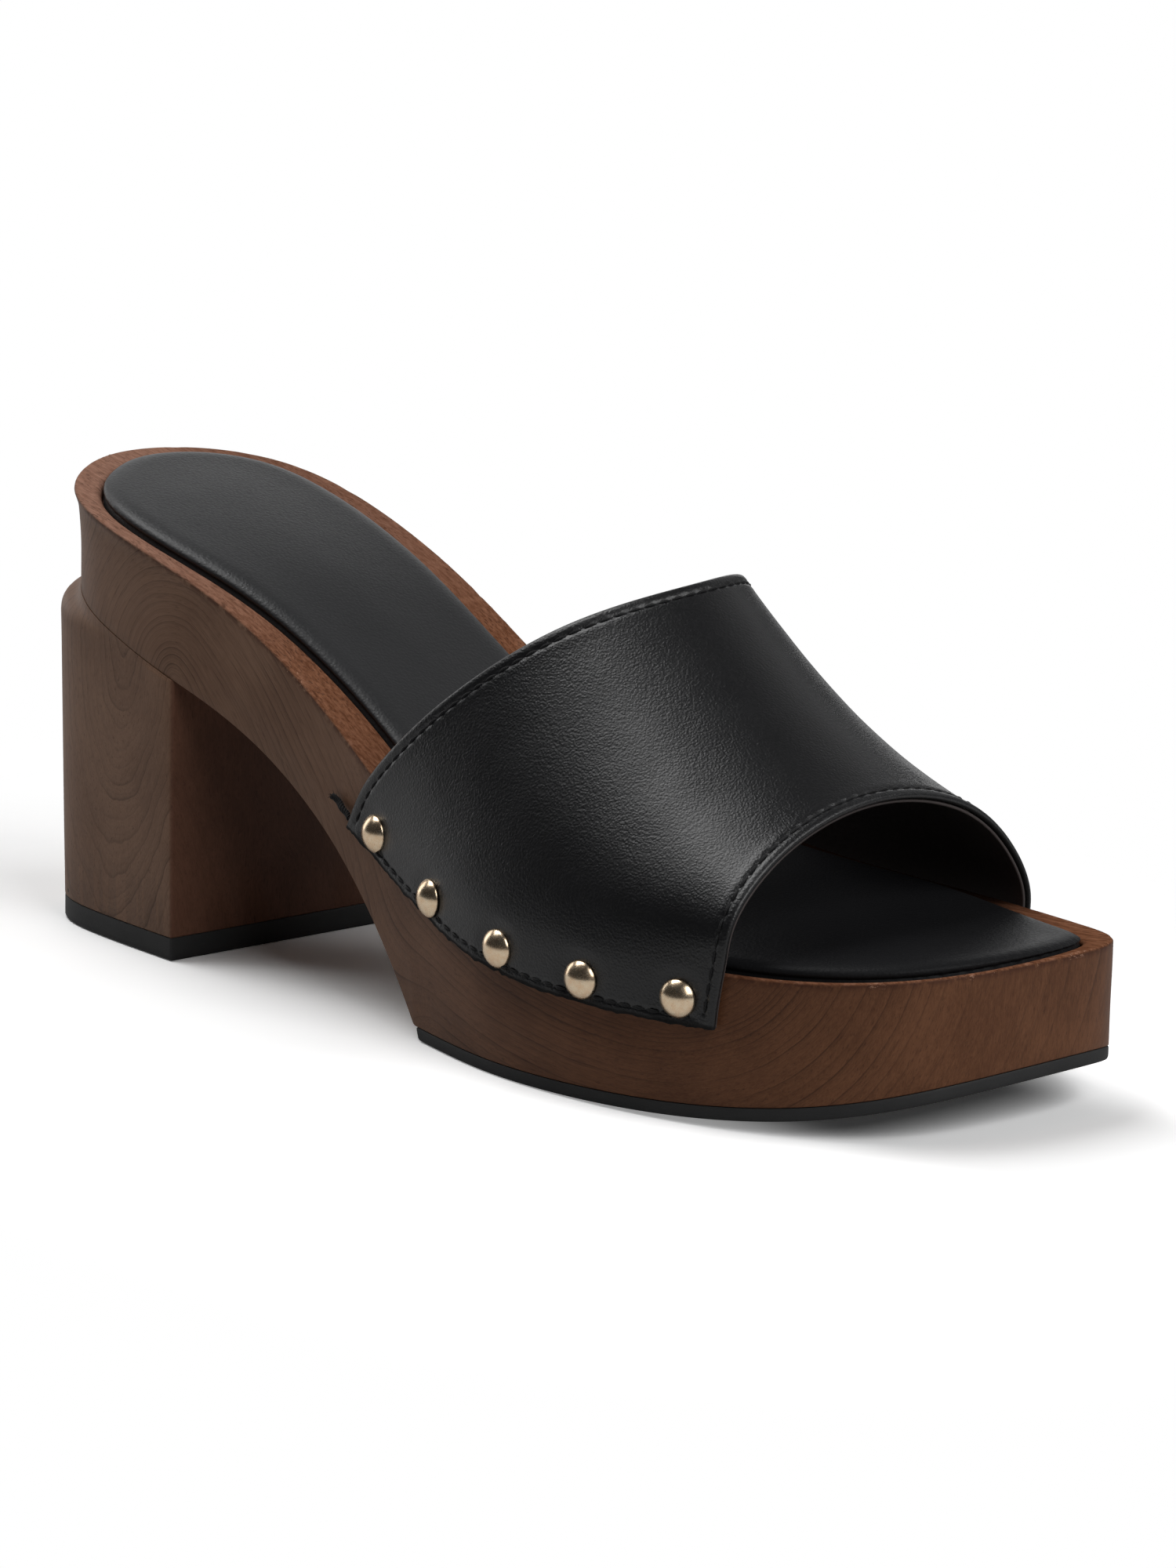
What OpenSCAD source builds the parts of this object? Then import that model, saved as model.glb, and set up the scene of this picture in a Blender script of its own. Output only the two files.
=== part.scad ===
// Heeled platform clog, right shoe: a wooden sole on a block heel, with an open-toed leather band
// held by dome studs. Millimetres. X runs from heel to toe, Y to the inner side of the foot, Z up.
// The origin is the centre of the heel tip's tread; the treads stand on Z = 0.

/* [Sole] */
// Thickness of the rubber heel tip
tip_thick = 4.6; // [3.6:0.2:5.6]
// Thickness of the rubber forepart outsole
outsole_thick = 2.6; // [2.2:0.1:3.2]
// Depth of the insole recess below the wooden rim
recess_depth = 2.2; // [1.8:0.1:2.8]
// How far the wall above the heel is cut in from the rim
waist_cut = 1.2; // [0.4:0.1:1.6]
// How far the heel block flares out from tread to ledge
heel_flare = 1.0; // [0.2:0.1:1.4]
// How far the ledge's outer edge drops below the seat at the back
ledge_drop = 6.5; // [5:0.1:8]

/* [Insole] */
// Height of the insole's crown over the rim
crown_height = 2.8; // [2.4:0.1:3.6]
// Thickness of the insole leather
cover_thick = 1.0; // [0.7:0.1:1.2]
// Thickness of the insole board
board_thick = 1.2; // [0.8:0.1:1.4]

/* [Upper] */
// Distance from the wooden wall to the outside of the leather band
upper_thick = 2.2; // [2.1:0.1:2.6]
// Thickness of the outer leather
leather_thick = 1.2; // [0.9:0.1:1.2]
// Thickness of the lining
lining_thick = 0.62; // [0.5:0.02:0.64]
// Distance of the stitching from the edges
stitch_inset = 2.6; // [2:0.1:3.2]
// Stitch pitch
stitch_pitch = 3.0; // [2.6:0.1:4]
// Stitch length
stitch_length = 2.2; // [1.6:0.1:2.4]

/* [Studs and screws] */
// Radius of a stud's dome
stud_radius = 3.6; // [3:0.1:4]
// Height of a stud's dome
stud_height = 1.8; // [1.2:0.1:2.4]
// Radius of a stud's shank
shank_radius = 0.8; // [0.6:0.1:1]
// Radius of the heel screws' shank
screw_radius = 1.9; // [1.5:0.1:2.2]

/* [Hidden] */
$fn = 48;

HEEL_MID = 26.2;    // X of the heel tread's centre in the tables, which start near the shoe's back
GLUE_GAP = 0.05;    // between the heel block and the sole
OUTER = -1;         // sides of the foot
INNER = 1;

BLACK_RUBBER = [0.05, 0.05, 0.05];
THREAD_BLACK = [0.03, 0.03, 0.03];

// ---- design tables: control values of uniform cubic B-splines ----

// [x, y] of the rim's plan outline, from the back of the heel along the outer side to the toe
// and back along the inner side
OUTLINE = [
  [-1.8, -1.5], [4.8, -17.3], [17.6, -30.4], [40.9, -33.3], [93, -26.8],
  [136.2, -41.2], [157.8, -44.5], [185.2, -42.8], [214.5, -33.7], [235.1, -16.6],
  [238.3, 9.8], [238.7, 32.6], [218.9, 41.2], [185.8, 44.3], [149.4, 39.7],
  [112.3, 30.2], [76.2, 28.5], [42.9, 31.8], [16.7, 32.4], [2.1, 18.2]];
// width of the rim around the insole, at the same controls
RIM_WIDTH = [6.8, 6.4, 5, 3.2, 9.8, 9, 5, 3, 2.1, 1.9, 2.6, 6, 7.4, 5.5, 5.4, 8.2, 7.4, 6.8, 7.8, 7.2];
// heights at even steps along X: the rim
RIM_START = -30;
RIM_STEP = 25;
RIM_Z = [94.8, 91.5, 85.8, 79.3, 70, 54.1, 39.9, 31.8, 29.2, 28.6, 28.4, 31, 36.9];
// the underside of the arch
ARCH_START = 25;
ARCH_STEP = 20;
ARCH_Z = [61.8, 57.4, 50.2, 38.5, 21.9, -0.5, -27.5];
// the tread of the outsole, rising at the toe
TREAD_START = 110;
TREAD_STEP = 25;
TREAD_Z = [0, 0, 0, 0.45, 1.9, 6.4, 19.6];
// the lower edge of the band
LOW_START = 75;
LOW_STEP = 25;
LOW_Z = [48.2, 36.8, 27.5, 20.8, 19.1, 18.7, 18.8, 19.3];
// [x, y] of the heel tread's outline, from the outer breast corner round the back to the inner one
HEEL = [[49.4, -31.1], [21.8, -28.1], [4, -23.5], [-3.2, 0], [4, 23.5], [21.8, 28.1], [53.5, 30.6]];
// X where the band's rear and front edges cross the wall, from its lower edge up
REAR_X = [101.4, 104.7, 109.7];
FRONT_X = [202.1, 202.7, 203.9];
// [x, y, z] of the band's arch: rows from rear to front, each from the outer side over the foot
// to the inner side
OVER = [
  [[125.7, -36.2, 64.3], [146.5, -23.4, 82.6], [158.3, 4.1, 88], [148.4, 27.4, 86.6],
    [126.7, 34.7, 66.2]],
  [[152.2, -41.4, 53.1], [165.7, -23.6, 70.5], [172.1, 2.7, 78.2], [166.3, 26.1, 70.8],
    [152.6, 39.7, 53.1]],
  [[178.4, -42.5, 44.9], [184.7, -23.6, 59.6], [186.9, 1.3, 66.6], [183.5, 24.4, 58.2],
    [177.8, 41.9, 44.5]],
  [[205.1, -38.3, 39.8], [204.5, -24, 50.8], [203.5, 1.4, 56.7], [203.6, 27, 52],
    [202.2, 41.2, 40.4]]];

// ---- fixing positions ----

STUDS = [[111.5, 37.3], [132.4, 29.8], [154.3, 25.3], [175.1, 23.6], [195.3, 23.6]];  // [x, z]
SCREWS = [[17, 0], [37, -13], [37, 13]];  // [x, y]
PINS = [[16, 0], [38, 0]];                // [x, y]

// ---- curve functions ----

function unit(v) = v/norm(v);
function mix(a, b, t) = a*(1 - t) + b*t;
// runs smoothly from a to b as x goes from start to end
function ease(a, b, start, end, x) =
  let (t = max(0, min(1, (x - start)/(end - start)))) mix(a, b, t*t*(3 - 2*t));
// a function with the same value everywhere
function constant(value) = function (any) value;
// where the test turns from true to false between a and b
function bisect(test, a, b, rounds = 22) = let (middle = (a + b)/2)
  rounds == 0 ? middle
  : test(middle) ? bisect(test, middle, b, rounds - 1)
  : bisect(test, a, middle, rounds - 1);

function spline_weights(t) =
  [pow(1 - t, 3), 3*t*t*t - 6*t*t + 4, -3*t*t*t + 3*t*t + 3*t + 1, t*t*t]/6;
function bezier_weights(t) = [pow(1 - t, 3), 3*t*pow(1 - t, 2), 3*t*t*(1 - t), t*t*t];
// a spline span that starts at control i
function span(controls, i, t) =
  spline_weights(t)*[for (k = [0:3]) controls[(i + k) % len(controls)]];
function closed_curve(controls, s) = let (i = floor(s)) span(controls, i - 1 + len(controls), s - i);
function open_curve(controls, u) =
  let (i = max(0, min(len(controls) - 4, floor(u)))) span(controls, i, u - i);
// a value tabled at even steps along X
function along(x, start, step, values) =
  let (u = (x - start)/step, i = max(1, min(len(values) - 3, floor(u)))) span(values, i - 1, u - i);

// ---- plan outline: s counts controls from the back, by the outer side ----

LAP = len(OUTLINE);
TOE = LAP/2;
function outline(s) = closed_curve(OUTLINE, s);
function inward(s) =
  let (d = unit(outline(s + 0.02) - outline(s + LAP - 0.02))) [-d[1], d[0]];
function plan(s, inset) = outline(s) + inward(s)*inset;
// s where the outline passes x on one side
function outline_at(x, side) = side == OUTER
  ? bisect(function (s) outline(s)[0] < x, 0.3, 9.6)
  : bisect(function (s) outline(s)[0] > x, 11.2, 19.7);

// ---- heights along X ----

BREAST_X = HEEL[0][0];
SEAT_SLOPE = 0.32;
TOE_RISE_X = 160;     // the tread is flat behind this
ARCH_END_X = 126;     // the arch has met the outsole by here

top_z = function (x) along(x, RIM_START, RIM_STEP, RIM_Z);
tread_z = function (x) x < TOE_RISE_X ? 0 : along(x, TREAD_START, TREAD_STEP, TREAD_Z);
under_z = function (x) let (outsole_top = tread_z(x) + outsole_thick)
  x < BREAST_X ? seat_z(x)
  : x > ARCH_END_X ? outsole_top
  : max(arch_z(x), outsole_top);
function arch_z(x) = along(x, ARCH_START, ARCH_STEP, ARCH_Z);
function seat_z(x) = arch_z(BREAST_X) + SEAT_SLOPE*(BREAST_X - x);
function low_edge_z(x) = along(x, LOW_START, LOW_STEP, LOW_Z);
// a height function that follows the rim
function rim_z(rise) = function (x) top_z(x) + rise;

// ---- insets from the outline ----

SEAT_CUT_GAIN = 0.5;  // added to the waist cut away from the back
BREAST_CUT = 0.4;
ARCH_CUT = 0.8;
BALL_CUT = 1.2;
UPPER_CUT = 0.1;      // at the toe, and at mid height in front of the heel

function seat_cut(x) =
  ease(ease(waist_cut, waist_cut + SEAT_CUT_GAIN, 4, 22, x), BREAST_CUT, 26, 52, x);
// how far the wooden wall is cut in at the bottom, at mid height and just below the rim
cut_low = function (s) let (
    x = outline(s)[0],
    rear = ease(seat_cut(x), ARCH_CUT, 50, 75, x),
    front = ease(BALL_CUT, UPPER_CUT, 160, 225, x))
  ease(rear, front, 100, 125, x);
cut_mid = function (s) let (x = outline(s)[0]) ease(seat_cut(x), UPPER_CUT, 50, 80, x);
cut_high = function (s) let (x = outline(s)[0]) ease(0.6*seat_cut(x), 0, 50, 80, x);
// an inset function that follows the rim's inner edge
function inside_rim(extra) = function (s) closed_curve(RIM_WIDTH, s) + extra;

// ---- solids from stacked layers: each a grid of rows (along X) and columns (along Y) ----

// An end row whose two ends meet is taken as a single point.
module layered(layers) {
  last = len(layers) - 1;
  rows = len(layers[0]) - 1;
  cols = len(layers[0][0]) - 1;
  function meets(i) = norm(layers[0][i][0] - layers[0][i][cols]) < 1e-6;
  start_meets = meets(0);
  end_meets = meets(rows);
  function is_point(i) = (i == 0 && start_meets) || (i == rows && end_meets);
  function at(k, i, j) = (k*(rows + 1) + i)*(cols + 1) + (is_point(i) ? 0 : j);
  // two triangles, less any that collapse
  function quad(a, b, c, d) = [for (f = [[a, b, c], [a, c, d]])
    if (f[0] != f[1] && f[1] != f[2] && f[0] != f[2]) f];
  border = [
    for (i = [0:rows]) [i, 0],
    if (!end_meets) for (j = [1:cols-1]) [rows, j],
    for (i = [rows:-1:0]) if (!is_point(i)) [i, cols],
    if (!start_meets) for (j = [cols-1:-1:1]) [0, j]];
  first_faces = [for (i = [0:rows-1], j = [0:cols-1])
    each quad(at(0, i, j), at(0, i+1, j), at(0, i+1, j+1), at(0, i, j+1))];
  last_faces = [for (i = [0:rows-1], j = [0:cols-1])
    each quad(at(last, i, j), at(last, i, j+1), at(last, i+1, j+1), at(last, i+1, j))];
  side_faces = [for (k = [0:last-1], m = [0:len(border)-1])
    let (p = border[m], q = border[(m + 1) % len(border)])
    each quad(at(k, p[0], p[1]), at(k+1, p[0], p[1]), at(k+1, q[0], q[1]), at(k, q[0], q[1]))];
  polyhedron(points = [for (layer = layers, row = layer) each row],
    faces = concat(first_faces, last_faces, side_faces), convexity = 10);
}

PLAN_ROWS = 60;
FORE_ROWS = 34;
PLAN_COLS = 6;
HEEL_ROWS = 26;
HEEL_COLS = 4;

// a row across from a to b, raised by camber at its middle
function cross_row(a, b, height, cols, camber = 0) = [for (j = [0:cols])
  let (t = j/cols, w = 2*t - 1, p = mix(a, b, t))
  [p[0], p[1], height(p[0]) + camber*(1 - w*w)]];

// a layer up to the toe from outline places start_out and start_in; the whole plan by default
function plan_layer(inset, height, camber = 0, start_out = 0, start_in = LAP, rows = PLAN_ROWS) =
  [for (i = [0:rows])
    let (a = mix(start_out, TOE, i/rows), b = mix(start_in, TOE, i/rows))
    cross_row(plan(a, inset(a)), plan(b, inset(b)), height, PLAN_COLS, camber)];

// a layer over the forepart only, from start_x to the toe
function fore_layer(start_x, inset, height) = plan_layer(inset, height,
  start_out = outline_at(start_x, OUTER), start_in = outline_at(start_x, INNER), rows = FORE_ROWS);

// ---- heel layers: u runs along the tread's outline from one breast corner to the other ----

HEEL_CONTROLS = [HEEL[0], HEEL[0], each HEEL, HEEL[6], HEEL[6]];
HEEL_SPANS = 8;
HEEL_BACK = HEEL_SPANS/2;   // u at the back
HEEL_CENTRE = [24, 0];      // a point inside, from which rays go out to the wall
ROW_CROWDING = 1.15;        // over 1 sets the rows closer together at the back
LEDGE_LAP = 0.05;           // how far the ledge reaches out past the wall above

function heel_outline(u) = open_curve(HEEL_CONTROLS, u);
// 0 at the back to 1 at a breast corner
function to_breast(u) = abs(u - HEEL_BACK)/HEEL_BACK;
// inward normal, straight across near the breast corners so the breast stays flat
function heel_inward(u) = let (
    v = heel_outline(u + 0.1) - heel_outline(u - 0.1),
    n = u < 1.2 || u > 6.8 ? [0, 1] : unit([v[1], -v[0]]))
  n*(HEEL_CENTRE - heel_outline(u)) > 0 ? n : -n;
function heel_inset(u, inset) = heel_outline(u) + heel_inward(u)*inset;
// a point on the block's outer face, at a share of the full flare
function heel_face(u, flare) =
  heel_inset(u, -flare*heel_flare*ease(1, 0, 0.7, 1, to_breast(u)));

// s where the wall above the ledge is met by the ray from the heel's centre through p
function wall_s(p, side) = let (
    place_at = function (a) side == OUTER ? a : LAP - a,
    before = function (a) let (s = place_at(a), q = plan(s, cut_low(s)) - HEEL_CENTRE)
      cross(q, p - HEEL_CENTRE)*side < 0)
  place_at(bisect(before, 0, 5));
// p moved out to that wall, but left where it is at the breast corners
function wall_over(u, p) = let (s = wall_s(p, u < HEEL_BACK ? OUTER : INNER))
  mix(p, plan(s, cut_low(s) - LEDGE_LAP), ease(1, 0, 0.6, 0.98, to_breast(u)));

// rows from the back to the breast, ending on point(u) at both sides
function heel_layer(point, height) = [for (i = [0:HEEL_ROWS])
  let (u = HEEL_BACK*(1 - pow(i/HEEL_ROWS, ROW_CROWDING)))
  cross_row(point(u), point(HEEL_SPANS - u), height, HEEL_COLS)];
function tip_layer(inset, z) = heel_layer(function (u) heel_inset(u, inset), constant(z));
function block_layer(flare, z) = heel_layer(function (u) heel_face(u, flare), constant(z));
// the ledge: t = 0 at the block's outer face to 1 at the wall above; drop fades out to the breast
function ledge_layer(t, below, drop) = heel_layer(
  function (u) let (p = heel_face(u, 1)) mix(p, wall_over(u, p), t),
  function (x) seat_z(x) - GLUE_GAP - below - drop*ease(1, 0, -4, 50, x));

// ---- screws and pins ----

HEAD_RADIUS = 4.2;
HEAD_DEPTH = 3.6;
HEAD_SINK = 0.3;      // head's top under the recess floor, at the low side of its hole
SCREW_LENGTH = 42;
SCREW_FIT = 0.1;      // the sole's screw holes are this much wider in radius
HEAD_HOLE = HEAD_RADIUS + SCREW_FIT;
PIN_HOLE = 1.5;
PIN_RADIUS = 1.45;
PIN_START = 1.7;      // Z of the pins' lower end
SHRINK = 0.05;        // screw and stud shanks are this much thinner in radius

// one screw's frame, with Z = 0 at its head's top
module at_screw(q)
  translate([q[0], q[1], top_z(q[0] + HEAD_HOLE) - recess_depth - HEAD_SINK]) children();

module at_pins(z) for (q = PINS) translate([q[0], q[1], z]) children();

module heel_screws() color([0.75, 0.75, 0.72]) for (q = SCREWS) at_screw(q) rotate_extrude()
  polygon([
    [0, -SCREW_LENGTH],
    [0.7, 1 - SCREW_LENGTH],
    [screw_radius - SHRINK, 5 - SCREW_LENGTH],
    [screw_radius - SHRINK, -HEAD_DEPTH],
    [HEAD_RADIUS, -0.2],
    [HEAD_RADIUS, 0],
    [0, 0]]);

module heel_tip_pins() color([0.7, 0.7, 0.7])
  at_pins(PIN_START) cylinder(h = 18, r = PIN_RADIUS);

// ---- studs: each stands square to the wall, its own Z pointing out ----

PIN_DEPTH = 12;       // reach of a stud's shank
SHANK_TOP = 0.15;     // the shank ends inside the dome
STUD_LIFT = 0.1;      // dome's underside above the leather
DOME_EDGE = 0.3;      // thickness of the dome's edge
DOME_STEPS = 10;

module at_stud(q, side) {
  s = outline_at(q[0], side);
  p = plan(s, -upper_thick);
  n = -inward(s);
  translate([p[0], p[1], q[1]]) rotate([0, 0, atan2(n[1], n[0])]) rotate([0, 90, 0]) children();
}

module stud_holes(depth, length)
  for (side = [OUTER, INNER], q = STUDS)
    at_stud(q, side) translate([0, 0, -depth]) cylinder(h = length, r = shank_radius);

module dome() {
  curve_radius = (stud_radius*stud_radius + stud_height*stud_height)/(2*stud_height);
  half_angle = asin(stud_radius/curve_radius);
  rotate_extrude() polygon([
    [0, STUD_LIFT],
    [stud_radius, STUD_LIFT],
    for (k = [0:DOME_STEPS]) let (
        a = half_angle*(1 - k/DOME_STEPS),
        edge = k == 0 ? DOME_EDGE : DOME_EDGE*cos(a))
      [curve_radius*sin(a), STUD_LIFT + stud_height + curve_radius*(cos(a) - 1) + edge]]);
}

module shank() translate([0, 0, -PIN_DEPTH]) rotate_extrude() polygon([
  [0, 0],
  [0.15, 0],
  [shank_radius - SHRINK, 2],
  [shank_radius - SHRINK, PIN_DEPTH + SHANK_TOP],
  [0, PIN_DEPTH + SHANK_TOP]]);

module studs(side) color([0.85, 0.72, 0.52]) for (q = STUDS) at_stud(q, side) {
  dome();
  shank();
}
module lateral_studs() studs(OUTER);
module medial_studs() studs(INNER);

// ---- wooden and rubber parts ----

module sole_block() color([0.33, 0.22, 0.15]) difference() {
  layered([
    plan_layer(cut_low, under_z),
    plan_layer(cut_mid, function (x) mix(under_z(x), top_z(x), 0.35)),
    plan_layer(cut_high, rim_z(-3.5)),
    plan_layer(constant(0), rim_z(-0.5)),
    plan_layer(constant(0.45), rim_z(0)),
    plan_layer(inside_rim(-0.15), rim_z(-0.1)),
    plan_layer(inside_rim(-0.05), rim_z(-recess_depth))]);
  for (q = SCREWS) at_screw(q) {
    translate([0, 0, -60]) cylinder(h = 70, r = screw_radius + SCREW_FIT);
    translate([0, 0, -HEAD_DEPTH])
      cylinder(h = HEAD_DEPTH, r1 = screw_radius + SCREW_FIT, r2 = HEAD_HOLE);
    cylinder(h = 8, r = HEAD_HOLE);
  }
  stud_holes(depth = PIN_DEPTH + 0.5, length = 14);
}

module heel_block() color([0.36, 0.25, 0.17]) difference() {
  layered([
    block_layer(flare = 0, z = tip_thick),
    block_layer(flare = 0.35, z = 20),
    block_layer(flare = 0.85, z = 40),
    ledge_layer(t = 0, below = 0.8, drop = ledge_drop),
    ledge_layer(t = 0.12, below = 0.55, drop = ledge_drop - 1.8),
    ledge_layer(t = 0.4, below = 0.35, drop = ledge_drop - 3.4),
    ledge_layer(t = 1, below = 0, drop = 0)]);
  for (q = SCREWS) at_screw(q) translate([0, 0, -44]) cylinder(h = 60, r = screw_radius);
  at_pins(0) cylinder(h = 20, r = PIN_HOLE);
}

module heel_tip() color(BLACK_RUBBER) difference() {
  layered([
    tip_layer(inset = 0.5, z = 0),
    tip_layer(inset = 0.05, z = 0.6),
    tip_layer(inset = 0.05, z = tip_thick)]);
  at_pins(PIN_START - 0.1) cylinder(h = 10, r = PIN_HOLE);
}

module outsole() color(BLACK_RUBBER) layered([
  fore_layer(124, function (s) cut_low(s) + 0.5, tread_z),
  fore_layer(123.4, cut_low, function (x) tread_z(x) + 0.5),
  fore_layer(122.4, cut_low, function (x) tread_z(x) + outsole_thick - 0.08)]);

// ---- insole ----

INSOLE_INSET = 0.7;               // insole insets count from here, inside the rim's inner edge
BASE_RISE = 0.1 - recess_depth;   // insole's underside over the rim, just clear of the recess floor
FOAM_GAP = 0.08;                  // between the foam and its neighbours
CAMBER = 0.25;                    // rise of the insole's top across the foot

function insole_layer(inset, rise, camber = 0) =
  plan_layer(inside_rim(INSOLE_INSET + inset), rim_z(rise), camber);
// a layer of the foam or the cover's hollow: inset from the leather, rise from the crown
function filling_layer(inset, rise, camber = 0) =
  insole_layer(cover_thick + inset, crown_height + rise, camber);

module insole_board() color([0.55, 0.45, 0.32]) layered([
  insole_layer(cover_thick, BASE_RISE),
  insole_layer(cover_thick, BASE_RISE + board_thick)]);

module insole_foam() color([0.85, 0.8, 0.65]) layered([
  insole_layer(cover_thick + 0.3, BASE_RISE + board_thick + FOAM_GAP),
  filling_layer(0.3, -2.9 - FOAM_GAP),
  filling_layer(0.9, -2.1 - FOAM_GAP),
  filling_layer(2.0, -1.55 - FOAM_GAP),
  filling_layer(4.4, -cover_thick - CAMBER - FOAM_GAP, CAMBER)]);

// from the middle of the hollow down to the edge, then up the outside to the top
module insole_cover() color([0.09, 0.09, 0.1]) layered([
  filling_layer(4.3, -cover_thick - CAMBER, CAMBER),
  filling_layer(1.9, -1.55),
  filling_layer(0.8, -2.1),
  filling_layer(0.1, -2.9),
  insole_layer(cover_thick + 0.1, BASE_RISE),
  insole_layer(-0.5, BASE_RISE),
  insole_layer(-0.5, 0.3),
  insole_layer(-0.2, crown_height - 1.6),
  insole_layer(0.6, crown_height - 0.85),
  insole_layer(2.0, crown_height - 0.4),
  insole_layer(5.2, crown_height - 0.2, CAMBER)]);

// ---- the leather band: sections over the foot, t = 0 at the rear edge to 1 at the front ----

SECTION_STEPS = 96;   // samples that measure a section's length
BAND_ROWS = 14;
BAND_COLS = 44;
LEATHER_GAP = 0.04;   // between the band's plies
LINING_INNER = upper_thick - 0.14;
LINING_OUTER = LINING_INNER - lining_thick;

// a point off the wooden wall, in the band's outer face
function wall(x, z, side) = let (p = plan(outline_at(x, side), -upper_thick)) [p[0], p[1], z];
// a section's three lowest controls on one side, from the lower edge up
function foot(t, side) = let (
    x = mix(REAR_X, FRONT_X, t),
    low = low_edge_z(x[0]),
    high = top_z(x[2]) + 3)
  [wall(x[0], low, side), wall(x[1], (low + high)/2, side), wall(x[2], high, side)];
function section_controls(t) = let (
    a = foot(t, OUTER),
    b = foot(t, INNER),
    over = [for (k = [0:4]) bezier_weights(t)*[for (row = OVER) row[k]]])
  [a[0], a[0], each a, each over, b[2], b[1], b[0], b[0], b[0]];
// pairs of distance along a section and curve parameter
function gauge(controls) = let (
    spans = len(controls) - 3,
    p = [for (k = [0:SECTION_STEPS]) open_curve(controls, spans*k/SECTION_STEPS)])
  [for (k = 0, l = 0;
      k <= SECTION_STEPS;
      l = l + (k < SECTION_STEPS ? norm(p[k+1] - p[k]) : 0), k = k + 1)
    [l, spans*k/SECTION_STEPS]];
// a section: [controls, gauge]
function section(t) = let (controls = section_controls(t)) [controls, gauge(controls)];
function section_length(sec) = sec[1][SECTION_STEPS][0];
// the point at a share of a section's length
function section_point(sec, share) =
  open_curve(sec[0], lookup(share*section_length(sec), sec[1]));

BAND = [for (i = [0:BAND_ROWS]) let (sec = section(i/BAND_ROWS))
  [for (j = [0:BAND_COLS]) section_point(sec, j/BAND_COLS)]];
function band_at(i, j) = BAND[max(0, min(BAND_ROWS, i))][max(0, min(BAND_COLS, j))];
BAND_NORMALS = [for (i = [0:BAND_ROWS]) [for (j = [0:BAND_COLS])
  unit(cross(band_at(i+1, j) - band_at(i-1, j), band_at(i, j+1) - band_at(i, j-1)))]];
function band_layer(depth) = [for (i = [0:BAND_ROWS])
  [for (j = [0:BAND_COLS]) BAND[i][j] - BAND_NORMALS[i][j]*depth]];

// a ply between two depths under the band's outer face
module ply(outer, inner) difference() {
  layered([band_layer(inner), band_layer(outer)]);
  stud_holes(depth = 6, length = 9);
}
module vamp_outer() color([0.08, 0.08, 0.09]) ply(outer = 0, inner = leather_thick);
module vamp_interlining() color([0.75, 0.73, 0.68])
  ply(outer = leather_thick + LEATHER_GAP, inner = LINING_OUTER - LEATHER_GAP);
module vamp_lining() color([0.05, 0.05, 0.05]) ply(outer = LINING_OUTER, inner = LINING_INNER);

// ---- stitching: short threads lying on the leather ----

THREAD_WIDTH = 0.5;
THREAD_HEIGHT = 0.4;
THREAD_LIFT = 0.06;       // thread's underside above the leather
LASTING_RISE = 1.7;       // lower row above the band's lower edge
LASTING_END = 4.5;        // lower row's ends from the band's edges
CURVE_ALLOWANCE = 1.05;   // length of the lower row over its length in X

module thread_at(p, along_row, outward) {
  t = unit(along_row);
  n = unit(outward - t*(outward*t));
  b = cross(n, t);
  c = p + n*(THREAD_LIFT + THREAD_HEIGHT/2);
  multmatrix([
      [t[0], b[0], n[0], c[0]],
      [t[1], b[1], n[1], c[1]],
      [t[2], b[2], n[2], c[2]],
      [0, 0, 0, 1]])
    cube([stitch_length, THREAD_WIDTH, THREAD_HEIGHT], center = true);
}

// a row over the foot, stepped in evenly from the edge at t = 0 (rear) or 1 (front)
module edge_row(t) {
  step = t == 0 ? 1 : -1;
  edge = section(t);
  next = section(t + step*0.06);
  whole = section_length(edge);
  run = whole - 2*stitch_inset;
  count = floor(run/stitch_pitch);
  function share(j) = (stitch_inset + run*j/(2*count))/whole;
  function into_band(j) = section_point(next, share(j)) - section_point(edge, share(j));
  path = [for (j = [0:2*count])
    section_point(edge, share(j)) + unit(into_band(j))*stitch_inset];
  for (j = [1:2:2*count-1]) {
    row_way = path[j+1] - path[j-1];
    thread_at(path[j], row_way, cross(into_band(j)*step, row_way));
  }
}
module rear_topline_stitching() color(THREAD_BLACK) edge_row(0);
module front_edge_stitching() color(THREAD_BLACK) edge_row(1);

// a row along the lower edge on one side, between the edge and the studs
function lasting_point(x, side) = wall(x, low_edge_z(x) + LASTING_RISE, side);
module lasting_row(side) color(THREAD_BLACK) {
  start = REAR_X[0] + LASTING_END;
  end = FRONT_X[0] - LASTING_END;
  count = floor((end - start)*CURVE_ALLOWANCE/stitch_pitch);
  for (j = [0:count-1]) {
    x = mix(start, end, (j + 0.5)/count);
    outward = -inward(outline_at(x, side));
    thread_at(lasting_point(x, side),
      lasting_point(x + 0.5, side) - lasting_point(x - 0.5, side),
      [outward[0], outward[1], 0]);
  }
}
module lateral_lasting_stitching() lasting_row(OUTER);
module medial_lasting_stitching() lasting_row(INNER);

// a cut thread end at the outer rear lower corner, lying on the wood
TAIL_X = 101;
TAIL_RADIUS = 0.45;
// [distance towards the toe, distance out from the outline, z]
TAIL = [[-0.8, 0.75, 38.6], [-2.4, 1.0, 39.4], [-3.8, 0.8, 40.3], [-4.6, 1.15, 40.9]];
module thread_tail() color(THREAD_BLACK) {
  s = outline_at(TAIL_X, OUTER);
  forward = unit(outline(s + 0.05) - outline(s - 0.05));
  points = [for (q = TAIL) let (p = plan(s, -q[1]) + forward*q[0]) [p[0], p[1], q[2]]];
  for (k = [0:2]) hull() {
    translate(points[k]) sphere(r = TAIL_RADIUS, $fn = 14);
    translate(points[k+1]) sphere(r = TAIL_RADIUS, $fn = 14);
  }
}

module place() translate([-HEEL_MID, 0, 0]) children();

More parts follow.
